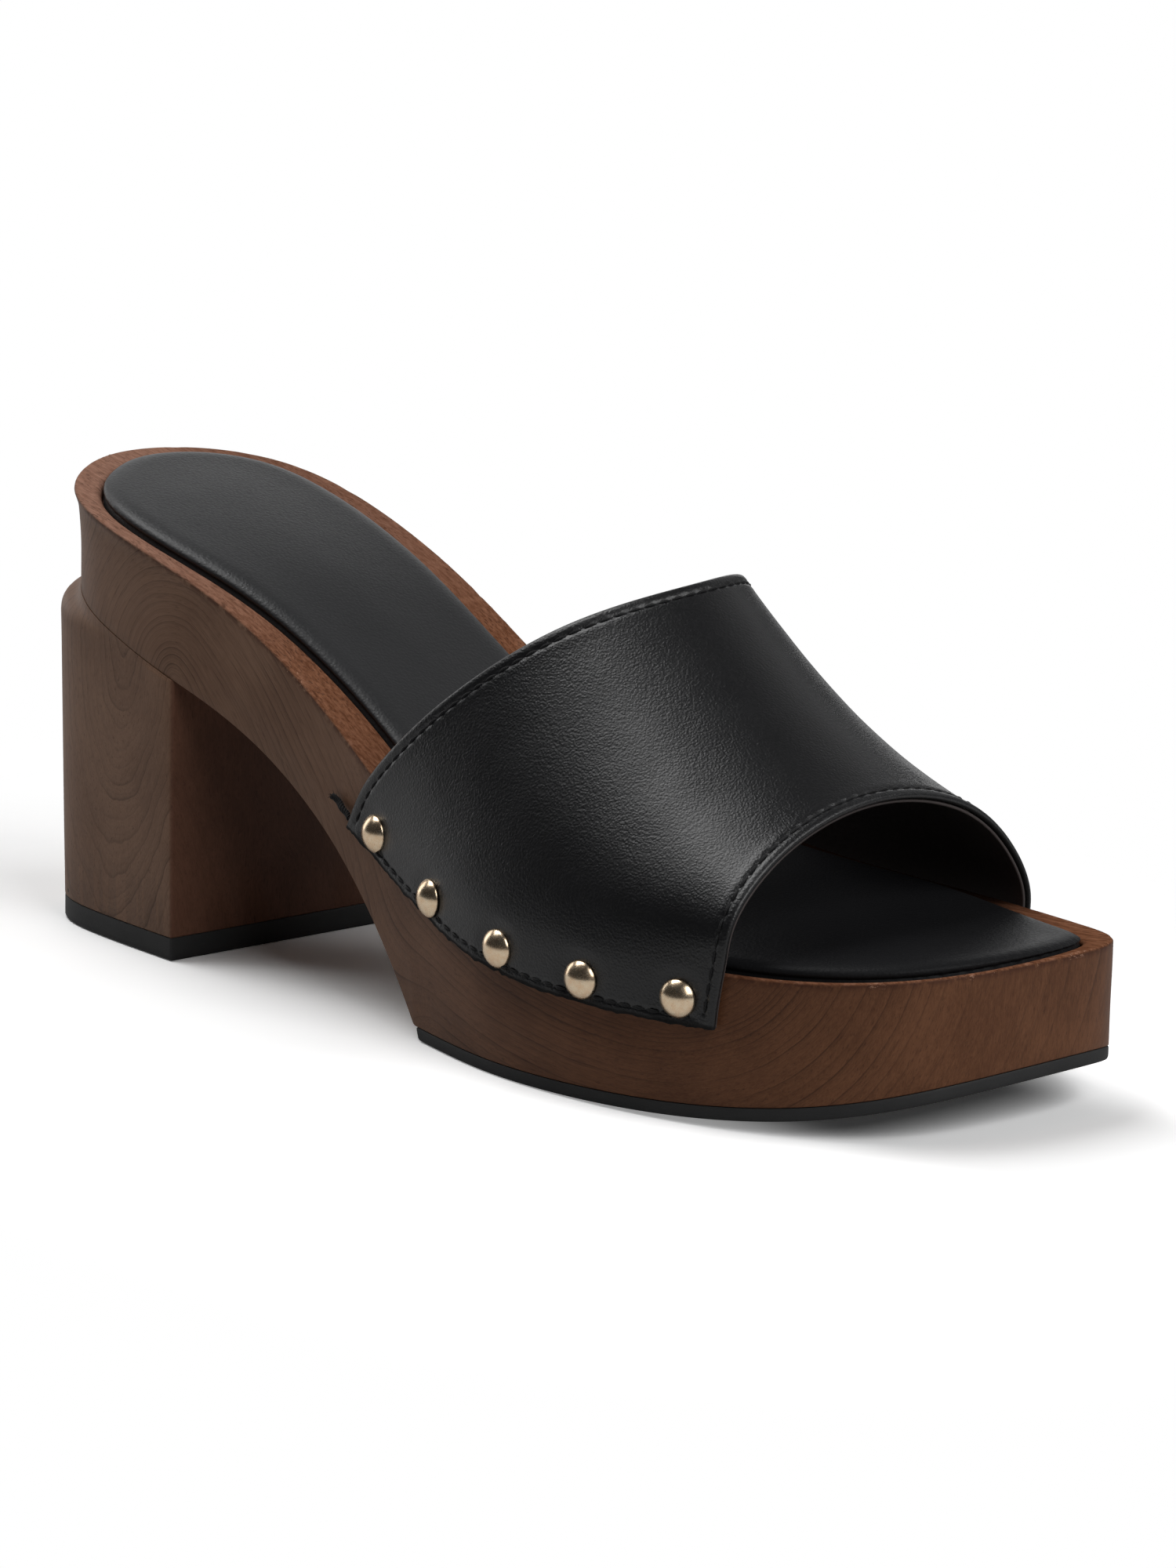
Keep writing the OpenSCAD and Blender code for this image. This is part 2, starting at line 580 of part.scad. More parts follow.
place() sole_block();
place() heel_block();
place() heel_screws();
place() heel_tip();
place() heel_tip_pins();
place() outsole();
place() insole_board();
place() insole_foam();
place() insole_cover();
place() vamp_outer();
place() vamp_interlining();
place() vamp_lining();
place() rear_topline_stitching();
place() front_edge_stitching();
place() lateral_lasting_stitching();
place() medial_lasting_stitching();
place() lateral_studs();
place() medial_studs();
place() thread_tail();
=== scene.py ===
"""A wooden-soled clog: sole, heel block, padded insole and a studded leather band.

Pieces are drawn in shoe millimetres: x runs from the back of the rim to the toe, y to the inner
side, z up from the ground. to_row() moves them into the row frame of the CAD pieces, in metres.
"""
import math
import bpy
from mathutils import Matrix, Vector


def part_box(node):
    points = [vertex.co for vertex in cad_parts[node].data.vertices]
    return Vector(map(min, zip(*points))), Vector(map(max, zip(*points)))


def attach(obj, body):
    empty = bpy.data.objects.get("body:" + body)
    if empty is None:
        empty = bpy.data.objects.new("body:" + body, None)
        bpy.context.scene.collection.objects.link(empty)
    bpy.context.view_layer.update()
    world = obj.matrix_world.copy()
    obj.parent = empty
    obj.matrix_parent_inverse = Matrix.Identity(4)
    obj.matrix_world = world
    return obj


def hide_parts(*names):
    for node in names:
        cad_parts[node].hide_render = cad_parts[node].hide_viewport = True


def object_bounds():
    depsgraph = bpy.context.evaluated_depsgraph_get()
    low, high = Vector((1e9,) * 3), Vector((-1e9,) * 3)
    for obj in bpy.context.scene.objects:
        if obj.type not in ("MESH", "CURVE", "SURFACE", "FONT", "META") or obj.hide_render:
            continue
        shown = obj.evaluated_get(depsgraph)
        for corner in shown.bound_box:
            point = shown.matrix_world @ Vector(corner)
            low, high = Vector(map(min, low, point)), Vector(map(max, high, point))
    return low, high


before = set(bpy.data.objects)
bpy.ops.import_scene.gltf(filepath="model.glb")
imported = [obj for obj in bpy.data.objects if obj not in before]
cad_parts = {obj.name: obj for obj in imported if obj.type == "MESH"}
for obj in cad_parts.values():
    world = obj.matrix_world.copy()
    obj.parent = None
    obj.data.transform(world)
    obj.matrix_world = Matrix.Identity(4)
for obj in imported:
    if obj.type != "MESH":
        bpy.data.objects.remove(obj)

from types import SimpleNamespace

import bmesh
import bpy
import numpy as np
from mathutils import Matrix, Vector, noise

CAD_BOX = [[float(c) for c in v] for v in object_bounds()]
MM = 0.001
OUTER, INNER = -1, 1

# ---------------------------------------------------------------- driving curves and sizes
# Control points of uniform cubic B-splines.
# Rim outline seen from above (x, y), closed: from the back along the outer side to the toe.
OUTLINE = np.array([
    [-1.8, -1.5], [4.8, -17.3], [17.6, -30.4], [40.9, -33.3], [93, -26.8],
    [136.2, -41.2], [157.8, -44.5], [185.2, -42.8], [214.5, -33.7], [235.1, -16.6],
    [238.3, 9.8], [238.7, 32.6], [218.9, 41.2], [185.8, 44.3], [149.4, 39.7],
    [112.3, 30.2], [76.2, 28.5], [42.9, 31.8], [16.7, 32.4], [2.1, 18.2]])
TURN = len(OUTLINE)
TOE = TURN/2
# Width of the bare rim at each outline point.
RIM_WIDTH = np.array([6.8, 6.4, 5, 3.2, 9.8, 9, 5, 3, 2.1, 1.9,
                      2.6, 6, 7.4, 5.5, 5.4, 8.2, 7.4, 6.8, 7.8, 7.2])
# Height profiles along x: first x, spacing, heights.
TOP = (-30, 25, np.array([94.8, 91.5, 85.8, 79.3, 70, 54.1, 39.9, 31.8, 29.2, 28.6, 28.4, 31,
                          36.9]))
ARCH = (25, 20, np.array([61.8, 57.4, 50.2, 38.5, 21.9, -0.5, -27.5]))
TREAD = (110, 25, np.array([0, 0, 0, 0.45, 1.9, 6.4, 19.6]))
BAND_LOW = (75, 25, np.array([48.2, 36.8, 27.5, 20.8, 19.1, 18.7, 18.8, 19.3]))
# Heel seen from above (x, y), open: outer breast corner, round the back, inner breast corner.
HEEL = np.array([[49.4, -31.1], [21.8, -28.1], [4, -23.5], [-3.2, 0],
                 [4, 23.5], [21.8, 28.1], [53.5, 30.6]])
# x of the band's rear and front edges at its foot, halfway up the wall and above the rim.
REAR_X = [101.4, 104.7, 109.7]
FRONT_X = [202.1, 202.7, 203.9]
# The band over the foot (x, y, z): a row per Bezier station, rear to front, outer side first.
OVER = np.array([
    [[125.7, -36.2, 64.3], [146.5, -23.4, 82.6], [158.3, 4.1, 88], [148.4, 27.4, 86.6],
     [126.7, 34.7, 66.2]],
    [[152.2, -41.4, 53.1], [165.7, -23.6, 70.5], [172.1, 2.7, 78.2], [166.3, 26.1, 70.8],
     [152.6, 39.7, 53.1]],
    [[178.4, -42.5, 44.9], [184.7, -23.6, 59.6], [186.9, 1.3, 66.6], [183.5, 24.4, 58.2],
     [177.8, 41.9, 44.5]],
    [[205.1, -38.3, 39.8], [204.5, -24, 50.8], [203.5, 1.4, 56.7], [203.6, 27, 52],
     [202.2, 41.2, 40.4]]])
# Stud centres (x, z), the same on both sides.
STUDS = [[111.5, 37.3], [132.4, 29.8], [154.3, 25.3], [175.1, 23.6], [195.3, 23.6]]

TIP_THICK, OUTSOLE_THICK = 4.6, 2.6
RECESS = 2.2                    # seat of the insole below the rim
WAIST = 1.2                     # how far the wall draws in below the heel's rim
FLARE, LEDGE = 1.0, 6.5         # heel: outward flare and drop of its rounded ledge
CROWN, COVER_THICK, BOARD_THICK = 2.8, 1.0, 1.2
UPPER_THICK, LEATHER_THICK, LINING_THICK = 2.2, 1.2, 0.62
STITCH_INSET, STITCH_PITCH, STITCH_LENGTH = 2.6, 3.0, 2.2
REAR_INSET, FRONT_INSET, LOW_INSET = STITCH_INSET - 0.2, STITCH_INSET - 0.4, 1.7
STUD_RADIUS, STUD_HEIGHT, SHANK_RADIUS = 3.6, 1.8, 0.8
BREAST_X = HEEL[0, 0]
SEAT_SLOPE, SEAT_GAP = 0.32, 0.05
EDGE_RADIUS, RECESS_RADIUS = 0.5, 0.9   # sole rim: outer edge and edge of the recess
OUTSOLE_X = 122.6                       # rear end of the outsole's top


# ---------------------------------------------------------------- curves and surfaces
def basis(t):
    """Weights of the four control points around a spot on a uniform cubic B-spline."""
    t = np.asarray(t, float)
    return (1 - t)**3/6, (3*t**3 - 6*t*t + 4)/6, (-3*t**3 + 3*t*t + 3*t + 1)/6, t**3/6


def on_profile(x, profile):
    first, spacing, heights = profile
    u = (np.asarray(x, float) - first)/spacing
    i = np.clip(np.floor(u).astype(int), 1, len(heights) - 3)
    return sum(w*heights[i + k - 1] for k, w in enumerate(basis(u - i)))


def on_ring(points, s):
    """Closed curve: s counts control points."""
    s = np.asarray(s, float)
    i = np.floor(s).astype(int)
    weights = basis(s - i)
    if points.ndim > 1:
        weights = [w[..., None] for w in weights]
    return sum(w*points[(i + k - 1) % len(points)] for k, w in enumerate(weights))


def unit(v):
    return v/np.maximum(np.linalg.norm(v, axis=-1, keepdims=True), 1e-12)


def smooth(a, b, x):
    t = np.clip((np.asarray(x, float) - a)/(b - a), 0, 1)
    return t*t*(3 - 2*t)


def mix(a, b, t):
    return a*(1 - t) + b*t


def outline_tangent(s, step):
    return unit(on_ring(OUTLINE, s + step) - on_ring(OUTLINE, s - step))


def inward(s):
    d = outline_tangent(np.asarray(s), 0.02)
    return np.stack([-d[..., 1], d[..., 0]], -1)


def plan(s, inset):
    return on_ring(OUTLINE, s) + inward(s)*np.asarray(inset, float)[..., None]


def rim_width(s):
    return on_ring(RIM_WIDTH, s)


def top_z(x):
    return on_profile(x, TOP)


def tread_z(x):
    return np.where(np.asarray(x) < 135, 0.0, on_profile(x, TREAD))


def seat_z(x):
    """Top of the heel block, where the sole sits on it."""
    return on_profile(BREAST_X, ARCH) + SEAT_SLOPE*(BREAST_X - np.asarray(x, float))


def under_z(x):
    """Underside of the wooden sole."""
    x = np.asarray(x, float)
    low = tread_z(x) + OUTSOLE_THICK
    return np.where(x < BREAST_X, seat_z(x),
                    np.where(x > 126, low, np.maximum(on_profile(x, ARCH), low)))


# How far the sole's wall draws in from the rim, at three levels.
def cut_seat(x):
    return mix(mix(WAIST, WAIST + 0.5, smooth(4, 22, x)), 0.4, smooth(26, 52, x))


def cut_low(x):
    fore = mix(1.2, 0.1, smooth(160, 225, x))
    return mix(mix(cut_seat(x), 0.8, smooth(50, 75, x)), fore, smooth(100, 125, x))


def cut_mid(x):
    return mix(cut_seat(x), 0.1, smooth(50, 80, x))


def cut_high(x):
    return mix(0.6*cut_seat(x), 0, smooth(50, 80, x))


# The outline sampled: parameter, place and length run so far.
RUN_S = np.linspace(0, TURN, 20001)
RUN_XY = on_ring(OUTLINE, RUN_S)


def run_length(points):
    return np.concatenate([[0], np.cumsum(np.linalg.norm(np.diff(points, axis=0), axis=1))])


RUN_LENGTH = run_length(RUN_XY)
ON_OUTER = (RUN_S > 0.3) & (RUN_S < 9.6)
ON_INNER = (RUN_S > 11.2) & (RUN_S < 19.7)


def outline_at(x, side):
    """Outline parameter at x on the outer or inner side."""
    if side == OUTER:
        return np.interp(x, RUN_XY[ON_OUTER, 0], RUN_S[ON_OUTER])
    return np.interp(x, RUN_XY[ON_INNER, 0][::-1], RUN_S[ON_INNER][::-1])


def s_at(length):
    return np.interp(length, RUN_LENGTH, RUN_S)


def length_at(s):
    return np.interp(s, RUN_S, RUN_LENGTH)


# Where the shoe frame sits in the row frame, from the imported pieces.
SHIFT_X = float(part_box("sole_block")[0].x/MM - RUN_XY[:, 0].min())
BASE_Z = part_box("heel_tip")[0].z/MM


def to_row(points):
    return (np.asarray(points, float) + np.array([SHIFT_X, 0, BASE_Z]))*MM


def soft_noise(points, scale, seed):
    """Smooth noise at each point, about -1 to 1."""
    q = np.asarray(points, float)/scale + seed
    return np.array([noise.noise(Vector(p)) for p in q.reshape(-1, 3)]).reshape(q.shape[:-1])


rng = np.random.RandomState(7)


# ---------------------------------------------------------------- mesh building
def piece(name, mesh, material, sharp, node, attributes=None):
    """Object in place of a CAD node, from (vertices, faces); sharp is an angle in degrees."""
    verts, faces = mesh
    me = bpy.data.meshes.new(name)
    me.from_pydata([tuple(v) for v in to_row(verts)], [], faces)
    me.validate(clean_customdata=False)
    me.update()
    ob = bpy.data.objects.new(name, me)
    bpy.context.scene.collection.objects.link(ob)
    for key, values in (attributes or {}).items():
        layer_data = me.attributes.new(key, "FLOAT", "POINT").data
        layer_data.foreach_set("value", np.asarray(values, np.float32))
    me.shade_smooth()
    me.set_sharp_from_angle(angle=math.radians(sharp))
    me.materials.append(material)
    bm = bmesh.new()
    bm.from_mesh(me)
    bmesh.ops.recalc_face_normals(bm, faces=bm.faces)
    bm.to_mesh(me)
    bm.free()
    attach(ob, "root")
    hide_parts(node)


def layered(layers):
    """Closed solid from grids: the end grids keep their inside, the others only their border.
    Returns vertices, faces and each vertex's layer number."""
    last = len(layers) - 1
    first = layers[0]
    R, C = first.shape[0] - 1, first.shape[1] - 1
    pinched = [i for i in (0, R) if np.allclose(first[i, 0], first[i, C])]
    border = [(i, 0) for i in range(R + 1)]
    if R not in pinched:
        border += [(R, j) for j in range(1, C)]
    border += [(i, C) for i in range(R, -1, -1) if i not in pinched]
    if 0 not in pinched:
        border += [(0, j) for j in range(C - 1, 0, -1)]
    everywhere = [(i, j) for i in range(R + 1) for j in range(C + 1)]
    verts, faces, index = [], [], {}

    def key(k, i, j):
        return k, i, 0 if i in pinched else j

    for k, points in enumerate(layers):
        for i, j in everywhere if k in (0, last) else border:
            spot = key(k, i, j)
            if spot not in index:
                index[spot] = len(verts)
                verts.append(points[spot[1:]])

    def face(*corners):
        loop = list(dict.fromkeys(index[key(*c)] for c in corners))
        if len(loop) > 2:
            faces.append(loop)

    for i in range(R):
        for j in range(C):
            face((0, i, j), (0, i, j+1), (0, i+1, j+1), (0, i+1, j))
            face((last, i, j), (last, i+1, j), (last, i+1, j+1), (last, i, j+1))
    for k in range(last):
        for p, q in zip(border, border[1:] + border[:1]):
            face((k, *p), (k, *q), (k+1, *q), (k+1, *p))
    return np.array(verts), faces, np.array([spot[0] for spot in index])


def tube_faces(rings, sides, base=0):
    """Faces of a tube of vertex rings numbered from base, with flat ends."""
    faces = []
    for k in range(rings - 1):
        a, b = base + k*sides, base + (k+1)*sides
        for i in range(sides):
            j = (i + 1) % sides
            faces.append([a + i, a + j, b + j, b + i])
    faces.append([base + i for i in range(sides)][::-1])
    faces.append([base + (rings-1)*sides + i for i in range(sides)])
    return faces


def stack(loops):
    return np.concatenate(loops), tube_faces(len(loops), len(loops[0]))


def rows(stations, counts):
    """Rows across the sole: outline parameters of their outer and inner ends, evenly spaced
    along the outline between stations (outer s, inner s)."""
    parts = []
    for start, end, n in zip(stations, stations[1:], counts):
        t = np.linspace(0, 1, n + 1)[bool(parts):]
        parts.append([s_at(mix(length_at(a), length_at(b), t)) for a, b in zip(start, end)])
    return np.concatenate(parts, axis=1)


def layer(ends, cut, height, columns):
    """Grid over the rows: cut(s, x) draws in from the rim, height(x) is its z."""
    outer, inner = (plan(s, cut(s, on_ring(OUTLINE, s)[:, 0])) for s in ends)
    w = np.linspace(0, 1, columns + 1)
    points = outer[:, None]*(1 - w)[None, :, None] + inner[:, None]*w[None, :, None]
    # rows whose ends meet shrink to a point
    gap = ends[0] - ends[1]
    if abs(gap[0] % TURN) < 1e-6:
        points[0] = outer[0]
    if abs(gap[-1]) < 1e-6:
        points[-1] = outer[-1]
    return np.concatenate([points, height(points[..., 0])[..., None]], -1)


# ---------------------------------------------------------------- shader building
class Signal:
    """A shader output whose arithmetic adds Math or Vector Math nodes."""

    def __init__(self, shader, socket, vector=False):
        self.shader, self.socket, self.vector = shader, socket, vector

    def _combine(self, operation, first, second):
        if not self.vector:
            return self.shader.math(operation, first, second)
        if operation == "MULTIPLY" and np.isscalar(second):
            operation = "SCALE"
        return self.shader.vector_math(operation, first, second)

    def __add__(self, other):
        return self._combine("ADD", self, other)

    def __radd__(self, other):
        return self._combine("ADD", other, self)

    def __sub__(self, other):
        return self._combine("SUBTRACT", self, other)

    def __rsub__(self, other):
        return self._combine("SUBTRACT", other, self)

    def __mul__(self, other):
        return self._combine("MULTIPLY", self, other)

    def __truediv__(self, other):
        return self._combine("DIVIDE", self, other)

    def times_plus(self, factor, term):
        """self*factor + term in one node."""
        return self.shader.math("MULTIPLY_ADD", self, factor, term)


class Shader:
    """A material with a Principled surface; at is the object's position in millimetres."""

    def __init__(self, name):
        self.material = bpy.data.materials.new(name)
        self.material.use_nodes = True
        self.tree = self.material.node_tree
        self.tree.nodes.clear()
        self.output = self.node("OutputMaterial")
        self.bsdf = self.node("BsdfPrincipled")
        self.put(self.output.inputs[0], self.bsdf.outputs[0])
        place = Signal(self, self.node("TexCoord").outputs["Object"], vector=True)
        self.at = place*1000.0

    def node(self, kind, *ordered, props=None, **named):
        """Node with its first inputs filled in order (None skips one) and others by name."""
        node = self.tree.nodes.new("ShaderNode" + kind)
        for key, value in (props or {}).items():
            setattr(node, key, value)
        for socket, value in zip(node.inputs, ordered):
            if value is not None:
                self.put(socket, value)
        for key, value in named.items():
            self.put(node.inputs[key.replace("_", " ")], value)
        return node

    def put(self, socket, value):
        value = getattr(value, "socket", value)
        if isinstance(value, bpy.types.NodeSocket):
            self.tree.links.new(value, socket)
        else:
            socket.default_value = value

    def surface(self, **inputs):
        for key, value in inputs.items():
            self.put(self.bsdf.inputs[key.replace("_", " ")], value)

    def output_of(self, kind, name, vector=False):
        return Signal(self, self.node(kind).outputs[name], vector)

    def math(self, operation, a, b=0.0, c=None):
        return Signal(self, self.node("Math", a, b, c, props={"operation": operation}).outputs[0])

    def vector_math(self, operation, a, b=(0, 0, 0)):
        props = {"operation": operation}
        if operation == "SCALE":
            node = self.node("VectorMath", a, props=props, Scale=b)
        else:
            node = self.node("VectorMath", a, b, props=props)
        if operation == "LENGTH":
            return Signal(self, node.outputs["Value"])
        return Signal(self, node.outputs["Vector"], vector=True)

    def split(self, vector):
        return [Signal(self, out) for out in self.node("SeparateXYZ", vector).outputs]

    def join(self, x, y, z):
        return Signal(self, self.node("CombineXYZ", x, y, z).outputs[0], vector=True)

    def noise(self, at, scale=1.0, detail=2.0, rough=0.5, vector=False):
        node = self.node("TexNoise", Vector=at, Scale=scale, Detail=detail, Roughness=rough)
        return Signal(self, node.outputs["Color" if vector else "Fac"], vector)

    def cells(self, at, scale, smoothness=None):
        if smoothness is None:
            node = self.node("TexVoronoi", Vector=at, Scale=scale)
        else:
            node = self.node("TexVoronoi", props={"feature": "SMOOTH_F1"}, Vector=at,
                             Scale=scale, Smoothness=smoothness)
        return Signal(self, node.outputs["Distance"])

    def ramp(self, value, stops):
        """Grey ramp through (position, level) stops."""
        node = self.node("ValToRGB", value)
        elements = node.color_ramp.elements
        while len(elements) < len(stops):
            elements.new(0.5)
        for element, (position, level) in zip(elements, stops):
            element.position = position
            element.color = (level, level, level, 1)
        return Signal(self, node.outputs[0])

    def fade(self, value, start, end, before=0.0, after=1.0):
        """Smooth step from before to after while value runs from start to end."""
        node = self.node("MapRange", value, start, end, before, after,
                         props={"interpolation_type": "SMOOTHSTEP", "clamp": True})
        return Signal(self, node.outputs[0])

    def mix_color(self, factor, a, b):
        a, b = (v if isinstance(v, Signal) else (*v, 1) for v in (a, b))
        node = self.node("Mix", factor, *[None]*5, a, b,
                         props={"data_type": "RGBA", "clamp_factor": True})
        return Signal(self, node.outputs[2])

    def mix_value(self, factor, a, b):
        node = self.node("Mix", factor, None, a, b,
                         props={"data_type": "FLOAT", "clamp_factor": True})
        return Signal(self, node.outputs[0])

    def bump(self, height, strength, distance=0.0001):
        """Surface relief; distance in metres."""
        node = self.node("Bump", Strength=strength, Distance=distance, Height=height)
        self.surface(Normal=node.outputs[0])

    def attribute(self, name):
        node = self.node("Attribute", props={"attribute_name": name})
        return Signal(self, node.outputs["Fac"])


# ---------------------------------------------------------------- wood
RING_DARK = (0.020, 0.0085, 0.0050)
PORE_DARK = (0.030, 0.0135, 0.0080)
# Darkness through one ring and through one of its three fine lines: (share, level).
RING_STOPS = [(0.0, 0.0), (0.45, 0.06), (0.78, 0.38), (0.92, 1.0), (0.965, 0.8), (1.0, 0.0)]
FINE_STOPS = [(0.0, 0.0), (0.5, 0.2), (0.85, 1.0), (1.0, 0.0)]
# Spots of chipped edge round the toe: x, y, reach.
CHIP_SPOTS = [(226.7, -22.5, 2.6), (235.1, -8.0, 1.6), (238.2, 17.5, 4.2)]


def warped(m, large, small):
    """Position shifted by large and small waves, and the small wave itself."""
    centre = (0.5, 0.5, 0.5)
    wave = m.noise(m.at, 0.016, vector=True) - centre
    ripple = m.noise(m.at, 0.09, detail=3, rough=0.55, vector=True) - centre
    return m.at + wave*large + ripple*small, ripple


def heel_rings(x, y, z, m):
    """The heel's rings stand upright and lean out to the side, so that they cut its outer
    face in nested arcs. Returns ring phase, and places along and across the grain."""
    lean = z.times_plus(-0.34, 22.0)
    dy = (y + 29.0) + lean*-1.0
    dx = (x + -7.0)*0.85
    ring_pitch = 1.45
    return m.math("SQRT", dx*dx + dy*dy)/ring_pitch, z*0.10, x + y


def sole_rings(x, y, z, m):
    # over the heel the rings arch up and run down the waist
    dx = x - (SHIFT_X + 50.0)
    dz = z - 55.0
    length = dx*0.75 + dz*-0.66
    rise = (dx*0.66 + dz*0.75) + (y + 30.0)*0.35
    length = length*m.fade(length, -14.0, 14.0, before=0.95, after=0.34)
    heel_pitch = 1.35
    heel_phase = m.math("SQRT", length*length + rise*rise)/heel_pitch
    # under the forefoot they open like a bowl, tight at the waist and wide towards the toe
    reach = ((x - (SHIFT_X + 110.0))*0.709 + y*0.705) - 28.0
    reach = reach*m.fade(reach, -12.0, 12.0, before=0.60)
    depth = z - 42.0
    radius = m.math("SQRT", (reach*reach + depth*depth) + 4.0)
    widening, fore_pitch = 0.055, 0.70
    beyond = m.math("MAXIMUM", radius + -18.0, 0.0)
    bowl = m.math("LOGARITHM", 1.0 + beyond*widening, math.e)*(1.0/widening/fore_pitch)
    fore = m.fade(x, SHIFT_X + 96.0, SHIFT_X + 132.0)
    phase = m.mix_value(fore, heel_phase, 39.3 - bowl)
    turn = m.math("ARCTAN2", depth, reach)
    return phase, m.mix_value(fore, length*0.10, turn*5.0), y


def wood_grain(m, rings, warp):
    """Ring, fibre and pore patterns from a ring layout and its (large, small) warp."""
    place, ripple = warped(m, *warp)
    phase, u, w = rings(*m.split(place), m)
    drift = m.noise(m.join(phase*0.17, 3.0, 5.0), rough=0.6)
    phase = phase + drift*3.0
    ring = m.ramp(m.math("FRACT", phase), RING_STOPS)
    fine_ring = m.ramp(m.math("FRACT", phase*3.0), FINE_STOPS)
    # every ring has its own strength, and it comes and goes along the wood
    own = m.noise(m.join(m.math("FLOOR", phase), 7.0, 2.0), 0.83, detail=0)
    own = m.fade(own, 0.35, 0.65, before=0.25)
    strength = own*m.fade(m.noise(m.at, 0.035), 0.34, 0.62, before=0.30)
    patch = m.fade(m.noise(m.at, 0.045, rough=0.55), 0.36, 0.66)
    # fibres and pores follow the rings
    fibre_at = m.join(phase*2.2, u*2.4, w*0.9) + ripple*1.6
    fibre = m.noise(fibre_at, detail=4, rough=0.65)
    fine_fibre = m.noise(fibre_at*3.2, detail=3, rough=0.6)
    pores = m.noise(m.join(phase*7.0, u*5.0, w*3.0))
    return SimpleNamespace(
        ripple=ripple, ring=ring, fine_ring=fine_ring, strength=strength,
        tone=(fibre + fine_fibre)*0.42 + patch*0.16, pore=m.fade(pores, 0.60, 0.70),
        rough=0.42 + fibre*0.16, height=fine_fibre*0.5 + ring*-0.45)


def wood_color(m, grain, low, high, strength, ring_weight):
    color = m.mix_color(m.fade(grain.tone, 0.20, 0.80), low, high)
    dark = (grain.ring*strength)*ring_weight + (grain.fine_ring*strength)*0.12
    color = m.mix_color(dark, color, RING_DARK)
    return m.mix_color(grain.pore*0.38, color, PORE_DARK)


def finish_wood(m, color, rough, height, specular, coat):
    m.surface(Base_Color=color, Roughness=rough, Specular_IOR_Level=specular,
              Coat_Weight=coat, Coat_Roughness=0.34)
    m.bump(height, strength=0.26, distance=0.00008)
    return m.material


def heel_wood(name):
    m = Shader(name)
    grain = wood_grain(m, heel_rings, warp=(8.0, 2.0))
    x, y, _ = m.split(m.at)
    # the breast face is left darker and redder, and so is the sharp corner beside it
    skew = (HEEL[-1, 0] - HEEL[0, 0])/(HEEL[-1, 1] - HEEL[0, 1])
    before_breast = (x - (SHIFT_X + BREAST_X)) - (y - HEEL[0, 1])*skew
    breast = m.fade(before_breast, -0.7, -0.08)
    low = m.mix_color(breast, (0.160, 0.086, 0.053), (0.098, 0.044, 0.027))
    high = m.mix_color(breast, (0.250, 0.146, 0.094), (0.172, 0.080, 0.050))
    strength = grain.strength*m.mix_value(breast, 1.0, 0.22)
    color = wood_color(m, grain, low, high, strength, ring_weight=0.42)
    # a brad hole low on the heel's outer rear
    hole = m.vector_math("LENGTH", m.at - (-14.85, -24.55, 6.1))
    hole = m.fade(hole, 0.28, 0.52, before=1.0, after=0.0)
    color = m.mix_color(hole, color, (0.006, 0.003, 0.002))
    return finish_wood(m, color, grain.rough, grain.height - hole*2.5, specular=0.17, coat=0.02)


def sanded_rim(m, x, y, ripple, cut, under):
    """Colour of the rim's flat top."""
    aft = m.fade(x, 8.0, 62.0, before=1.0, after=0.0)
    sand = m.mix_color(m.fade(cut, 0.3, 0.72),
                       m.mix_color(aft, (0.105, 0.0385, 0.0180), (0.205, 0.100, 0.066)),
                       m.mix_color(aft, (0.250, 0.110, 0.060), (0.345, 0.190, 0.135)))
    dash = m.fade(m.noise((m.at + ripple*3.0)*(0.42, 2.9, 2.0)), 0.55, 0.66)
    dash = dash*m.fade(m.noise(m.at, 0.06), 0.35, 0.60, before=0.15, after=0.70)
    sand = m.mix_color(dash, sand, (0.060, 0.028, 0.018))
    # painted shade: under the band the rim is darkened where the band shades it
    sand = m.mix_color(under*0.96, sand, (0.012, 0.0060, 0.0045))
    # painted shade: the rim's top on the inner side of the heel is darkened
    inner = (m.fade(y, 4.0, 20.0)*aft)*0.45
    return m.mix_color(inner, sand, (0.095, 0.034, 0.016))


def worn_edge(m, color, wear, top):
    """Wear along the rim's edge: its colour, and how deep it is chipped."""
    # a narrow dark red line under the edge, rubbed through here and there
    line = (wear*(1.0 - top))*m.fade(m.noise(m.at, 0.5, detail=3, rough=0.65), 0.36, 0.52)
    color = m.mix_color(line*0.70, color, (0.050, 0.0165, 0.0095))
    rub = (wear*top)*m.fade(m.noise(m.at, 0.45, detail=3, rough=0.65), 0.50, 0.66)
    color = m.mix_color(rub*0.45, color, (0.33, 0.160, 0.100))
    chip = wear*(m.fade(m.noise(m.at, 1.3, detail=3, rough=0.7), 0.64, 0.69)
                 * m.fade(m.noise(m.at, 0.06, detail=1), 0.52, 0.60))
    color = m.mix_color(chip*0.75, color, (0.48, 0.28, 0.185))
    spots = None
    for x, y, reach in CHIP_SPOTS:
        away = m.vector_math("LENGTH", (m.at - (SHIFT_X + x, y, 0.0))*(1.0, 1.0, 0.0))
        spot = m.fade(away, 0.35*reach, reach, before=1.0, after=0.0)
        spots = m.math("MAXIMUM", spots, spot) if spots else spot
    crumbs = m.noise(m.at*(1.3, 1.3, 3.2), detail=3, rough=0.7)
    toe_chip = m.fade(wear*spots, 0.35, 0.75)*m.fade(crumbs, 0.53, 0.60)
    color = m.mix_color(toe_chip*0.55, color, (0.46, 0.26, 0.175))
    return color, chip + toe_chip


